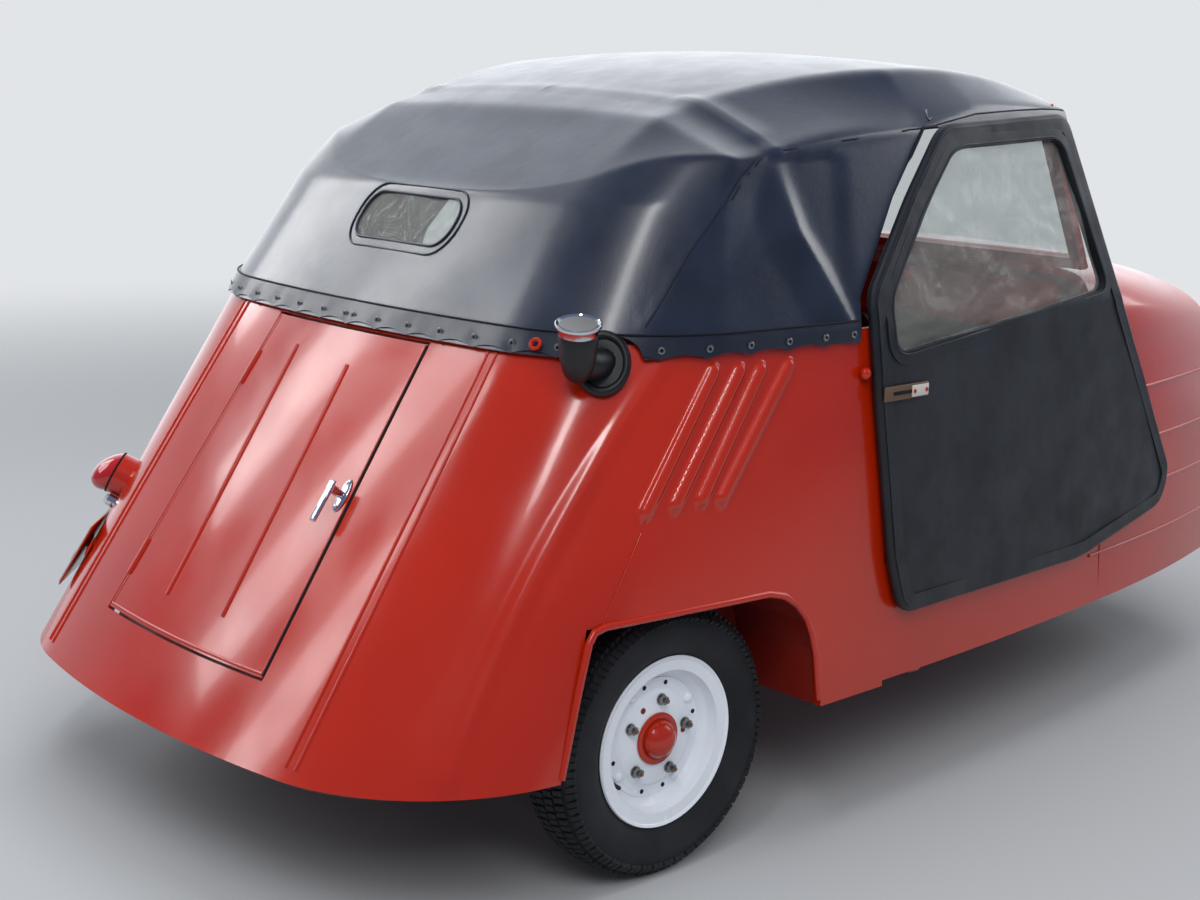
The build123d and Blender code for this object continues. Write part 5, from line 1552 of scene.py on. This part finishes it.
@dataclass
class Fittings:
    """Filler, tail lamp, plate, lid handle, and the hood's knobs and loop."""

    def build(self) -> None:
        """Makes each fitting on the skin that carries it."""
        self.filler()
        self.tail_lamp()
        self.handle()
        self.plate()
        for side, name in SIDES:
            y = TUB.side_y(-338, 813)
            knob = Bench.ball("hood_knob_" + name, (-338, side * (y + 10), 813), (11, 9, 11))
            seat(Bench.dress(knob, RED), "body", "body_paint")
        bpy.ops.mesh.primitive_torus_add(major_radius=0.008, minor_radius=0.0032, major_segments=32, minor_segments=10)
        loop = Bench.put(Bench.named("hood_loop"), TUB.place(446, 876, -1, 17))
        seat(Bench.dress(loop, RED), "body", "body_paint")

    @staticmethod
    def filler() -> None:
        """Rubber ring on the skin, elbow, tapering neck that leans a little, and bright cap."""
        x, y, z = GROMMET
        neck_x, neck_z, cap_z = x - 58, 845, 917
        bpy.ops.mesh.primitive_torus_add(major_radius=0.041, minor_radius=0.0075, major_segments=48, minor_segments=12)
        ring = Bench.named("ring")
        disc = Bench.disc("disc", (0, 0, 0), (0, 0, 1), 39, 6, 40)
        on_skin = TUB.place(-y - 8, z - 4, -1, 8) @ Matrix.Diagonal((0.92, 1.12, 1, 1))
        bend = [(x + 6, y + 12, z - 2), (x - 16, y + 4, z), (x - 36, y, z + 2), (x - 54, y, z + 8)]
        elbow = Bench.tube("elbow", bend, 25, sides=6)
        taper = [(-6, 0), (-4, 14), (3, 20), (12, 24), (25, 27.5), (40, 29.5), (58, 30.5), (71, 31), (73, 30), (73, 0)]
        neck = Bench.turned("neck", taper, 48)
        cap = Bench.turned("cap", [(0, 0), (0, 30), (3, 31), (9, 32.5), (13, 35.5), (16, 36.8), (18.5, 36.2),
                                   (19, 34.5), (16.5, 31.5), (15.5, 29), (16, 12), (16.3, 0)], 64)
        up = Matrix.Rotation(math.pi / 2, 4, "X")
        Bench.put(neck, moved((neck_x, y, neck_z)) @ up)
        Bench.put(cap, moved((neck_x, y, cap_z)) @ up)
        face = Bench.disc("face", (neck_x, y, cap_z + 16.6), (0, 0, 1), 29.5, 1.2, 48)
        foot = moved((neck_x, y, neck_z + 10))
        lean = foot @ Matrix.Rotation(math.radians(15), 4, Vector((0.738, -0.674, 0))) @ foot.inverted()
        for item in (neck, cap, face):
            Bench.put(item, lean)
        for item in (ring, disc):
            Bench.put(item, on_skin)
        parts = ((ring, BOOT), (disc, BOOT), (elbow, BOOT), (neck, BOOT), (cap, CHROME), (face, STEEL))
        seat(Bench.kit("fuel_filler_look", parts, degrees=40), "body", "filler_rubber", "fuel_filler")

    @staticmethod
    def tail_lamp() -> None:
        """Red pod on the skin, its gasket, its lens drawn down to a tip, and a small lamp below it."""
        base = Bench.disc("base", (0, 0, -2), (0, 0, 1), 41, 56, 48)
        gasket = Bench.disc("gasket", (0, 0, 27.5), (0, 0, 1), 42, 3.5, 48)
        steps = [(38 * math.sin(a), 40 * math.cos(a)) for a in np.linspace(0, math.pi / 2, 14)]
        lens = Bench.put(Bench.turned("lens", [(0, 0), *steps], 48), Matrix.Rotation(math.pi / 2, 4, "X"))
        shear = Matrix.Identity(4)
        shear[1][2] = -0.5
        Bench.put(lens, Matrix.Translation((0, 0, 0.0285)) @ shear)
        pod = Bench.kit("pod", ((base, RED), (gasket, BLACK_AND_SHADE), (lens, LENS)), TUB.place(534, 511, 1), 50)
        parts = [(Bench.disc("small", (0, 0, lift), (0, 0, 1), radius, depth, 32), finish)
                 for radius, depth, lift, finish in ((12, 24, 4, CHROME), (9, 6, 18, LAMP_GLASS))]
        small = Bench.kit("small", parts, TUB.place(528, 470, 1))
        seat(Bench.join("tail_lamp_look", [pod, small]), "body", "lamp_red", "tail_lamp")

    @staticmethod
    def handle() -> None:
        """Oval escutcheon, stem and blade lever on the lid."""
        up, across, out = Vector((0.577, 0, 0.817)), Vector((0, 1, 0)), Vector((-0.817, 0, 0.577))
        place = moved((TUB.tip_x(-212, 624), -212, 624)) @ framed(up, across, out)
        base = Bench.ball("base", (0, 0, 1), (30, 13, 4))
        stem = Bench.disc("stem", (0, 0, 14), (0, 0, 1), 7, 28, 24)
        lever = Bench.block("lever", (-24, 0, 30), (74, 14, 7), 3, 3)
        screws = [Bench.ball("screw", (x, 0, 4), (4, 4, 2)) for x in (-21, 21)]
        parts = [(item, CHROME) for item in (base, stem, lever, *screws)]
        seat(Bench.kit("lid_handle_look", parts, place), "lid", "handle_chrome", "lid_handle")

    @staticmethod
    def plate() -> None:
        """Blank plate on a red strap."""
        tangent, down = Vector((0.675, 0.738, 0)).normalized(), Vector((-0.52, 0.17, -0.84)).normalized()
        normal = tangent.cross(down).normalized()
        normal = -normal if normal.x > 0 else normal
        place = moved((-1150, 556, 394)) @ framed(tangent, normal.cross(tangent), normal)
        parts = ((Bench.block("sheet", (0, 0, 0), (180, 128, 2.5), 1), PALE),
                 (Bench.block("back", (0, 0, -3), (186, 134, 2.5), 1), RED),
                 (Bench.block("strap", (0, 0, -34), (26, 12, 62), 2), RED),
                 (Bench.disc("reflector", (-8, 32, 5), (0, 0, 1), 13, 9, 32), LENS))
        band = Bench.block("band", (0, 0, 2), (96, 22, 5), 1.5)
        items = [Bench.kit("plate", parts, place), Bench.kit("band", ((band, RED),), TUB.place(500, 404, 1))]
        seat(Bench.join("plate_holder_look", items), "body", "plate_paint", "plate_holder")


@dataclass
class Kept:
    """Nodes whose own shape stays and only gets a finish."""

    finishes: dict[str, Finish] = field(default_factory=lambda: {
        "chassis_frame": IRON, "firewall": DARK_RED, "floor_pan": DARK_RED, "toe_board": DARK_RED,
        "wheel_arch": DARK_RED, "engine_block": ENGINE, "final_drive": IRON, "exhaust": SOOT,
        "rear_suspension": IRON, "steering_head": IRON, "front_fork": IRON, "hood_bows": DARK_RED,
        "seat_base": DARK_RED, "dash_panel": RED, "windscreen_frame": RED, "windscreen_glass": GLASS,
        "handlebar": CHROME})

    def build(self, nodes: Sequence[str]) -> None:
        """Gives each kept node its finish."""
        for node in nodes:
            item = bpy.data.objects.get(node)
            for start, finish in self.finishes.items():
                if node.startswith(start) and item is not None:
                    for slot in item.material_slots:
                        slot.material = finish.material()


@dataclass
class Studio:
    """Plain floor, soft light and the camera of the photograph.

    Args:
        place: Place of the camera, in metres.
        yaw: Its turn about Z, in degrees.
        pitch: How far it looks up.
        roll: Its turn about its own axis.
        lens: Its focal length on a sensor 36 mm wide.
        sky: Strength of the sky.
        hidden: Lamps that reflections don't show.
    """

    place: tuple[float, float, float] = (-2.742, -2.639, 1.339)
    yaw: float = 47.58
    pitch: float = -12.23
    roll: float = 1.19
    lens: float = 55.5
    sky: float = 0.4
    hidden: tuple[str, ...] = ("key", "top")
    # Linear colours: of the sky's light, of the backdrop, and of what reflections see behind and ahead.
    light: tuple = (0.78, 0.84, 0.95, 1)
    backdrop: tuple = (0.76, 0.78, 0.8, 1)
    dim: tuple = (0.13, 0.18, 0.29, 1)
    pale: tuple = (1.35, 1.4, 1.48, 1)
    ahead: tuple = (0.67, 0.74, 0)
    # Columns: name, place, width, height, power.
    lights: tuple = (("key", (-3.2, -4.4, 4.6), 3.0, 3.0, 150), ("top", (0.4, 0.2, 5.4), 4.5, 4.5, 150),
                     ("back", (4.6, -2.2, 3.2), 3.0, 3.0, 60), ("corner", (-3.0, -1.9, 4.6), 0.3, 3.0, 50),
                     ("window_1", (-4.6, 3.0, 3.4), 0.5, 2.6, 28), ("window_2", (-3.7, 3.7, 3.5), 0.5, 2.6, 28),
                     ("window_3", (-2.7, 4.3, 3.6), 0.5, 2.6, 28), ("window_4", (-1.6, 4.8, 3.7), 0.5, 2.6, 28))

    def build(self) -> None:
        """Makes floor, lights, world and camera."""
        bpy.ops.mesh.primitive_plane_add(size=60)
        floor = Bench.named("studio_floor")
        floor.data.materials.append(self.floor())
        middle = Vector((-0.5, 0, 0.55))
        for name, where, wide, tall, power in self.lights:
            light = bpy.data.lights.new(name, "AREA")
            light.shape, light.size, light.size_y, light.energy = "RECTANGLE", wide, tall, power
            lamp = bpy.data.objects.new(name, light)
            bpy.context.collection.objects.link(lamp)
            lamp.location = where
            lamp.rotation_euler = (middle - Vector(where)).to_track_quat("-Z", "Y").to_euler()
            lamp.visible_camera = False
            lamp.visible_glossy = name not in self.hidden
        self.world()
        self.camera()

    @staticmethod
    def floor() -> bpy.types.Material:
        """Pale floor that thins out into the backdrop with distance."""
        material = bpy.data.materials.new("floor_grey")
        graph = Graph(material)
        reach = graph.node("ShaderNodeVectorMath", {0: graph.where()}, output=1, operation="LENGTH")
        near = graph.node("ShaderNodeBsdfDiffuse", {"Color": (*srgb(176, 178, 180), 1)})
        far = graph.node("ShaderNodeBsdfTransparent")
        surface = graph.node("ShaderNodeMixShader", {0: reach.ramp(2.6, 7.5, 0, 1), 1: near, 2: far})
        graph.node("ShaderNodeOutputMaterial", {"Surface": surface})
        return material

    def world(self) -> None:
        """Soft sky that the camera and the reflections see as a pale backdrop."""
        scene = bpy.context.scene
        world = scene.world or bpy.data.worlds.new("world")
        scene.world = world
        graph = Graph(world)
        seen, through, glossy = (graph.node("ShaderNodeLightPath", output=f"Is {kind} Ray")
                                 for kind in ("Camera", "Transmission", "Glossy"))
        direct = graph.node("ShaderNodeMath", {0: seen, 1: through}, operation="MAXIMUM")
        sky, backdrop, far = (graph.node("ShaderNodeBackground", {0: colour, 1: power}) for colour, power in (
            (self.light, self.sky), (self.backdrop, 1.0), (self.hall(graph), 1.0)))
        lit = graph.node("ShaderNodeMixShader", {0: glossy, 1: sky, 2: far})
        last = graph.node("ShaderNodeMixShader", {0: direct, 1: lit, 2: backdrop})
        graph.node("ShaderNodeOutputWorld", {"Surface": last})

    def hall(self, graph: Graph) -> Sock:
        """Colour that reflections see: dim blue all round, pale beyond the car."""
        where = graph.node("ShaderNodeTexCoord", output="Generated")
        ahead = graph.node("ShaderNodeVectorMath", {0: where, 1: self.ahead}, "Value", operation="DOT_PRODUCT")
        share = graph.node("ShaderNodeMapRange", {0: ahead, 1: 0.3, 2: 0.9})
        return graph.blend(share, self.dim, self.pale)

    def camera(self) -> None:
        """Camera where the photograph was taken from."""
        yaw, pitch, roll = (math.radians(v) for v in (self.yaw, self.pitch, self.roll))
        ahead = Vector((math.cos(yaw) * math.cos(pitch), math.sin(yaw) * math.cos(pitch), math.sin(pitch)))
        right = Vector((math.sin(yaw), -math.cos(yaw), 0))
        above = right.cross(ahead)
        x = right * math.cos(roll) + above * math.sin(roll)
        y = above * math.cos(roll) - right * math.sin(roll)
        camera = bpy.data.objects.new("camera", bpy.data.cameras.new("camera"))
        bpy.context.collection.objects.link(camera)
        camera.data.lens, camera.data.sensor_width = self.lens, 36
        camera.matrix_world = Matrix.Translation(self.place) @ framed(x, y, -ahead)
        bpy.context.scene.camera = camera
        bpy.context.scene.view_settings.view_transform = "Standard"


def main() -> None:
    """Loads the frame, builds every sub-assembly and finishes."""
    logging.basicConfig(level=logging.INFO, format="%(message)s")
    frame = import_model()
    Kept().build(list(frame["nodes"]))
    for part in (TailBody(), Nose(), Hood(), Doors(), Wheels(), Cabin(), Fittings(), Studio()):
        part.build()
        LOG.info("built %s", type(part).__name__)


if __name__ == "__main__":
    main()
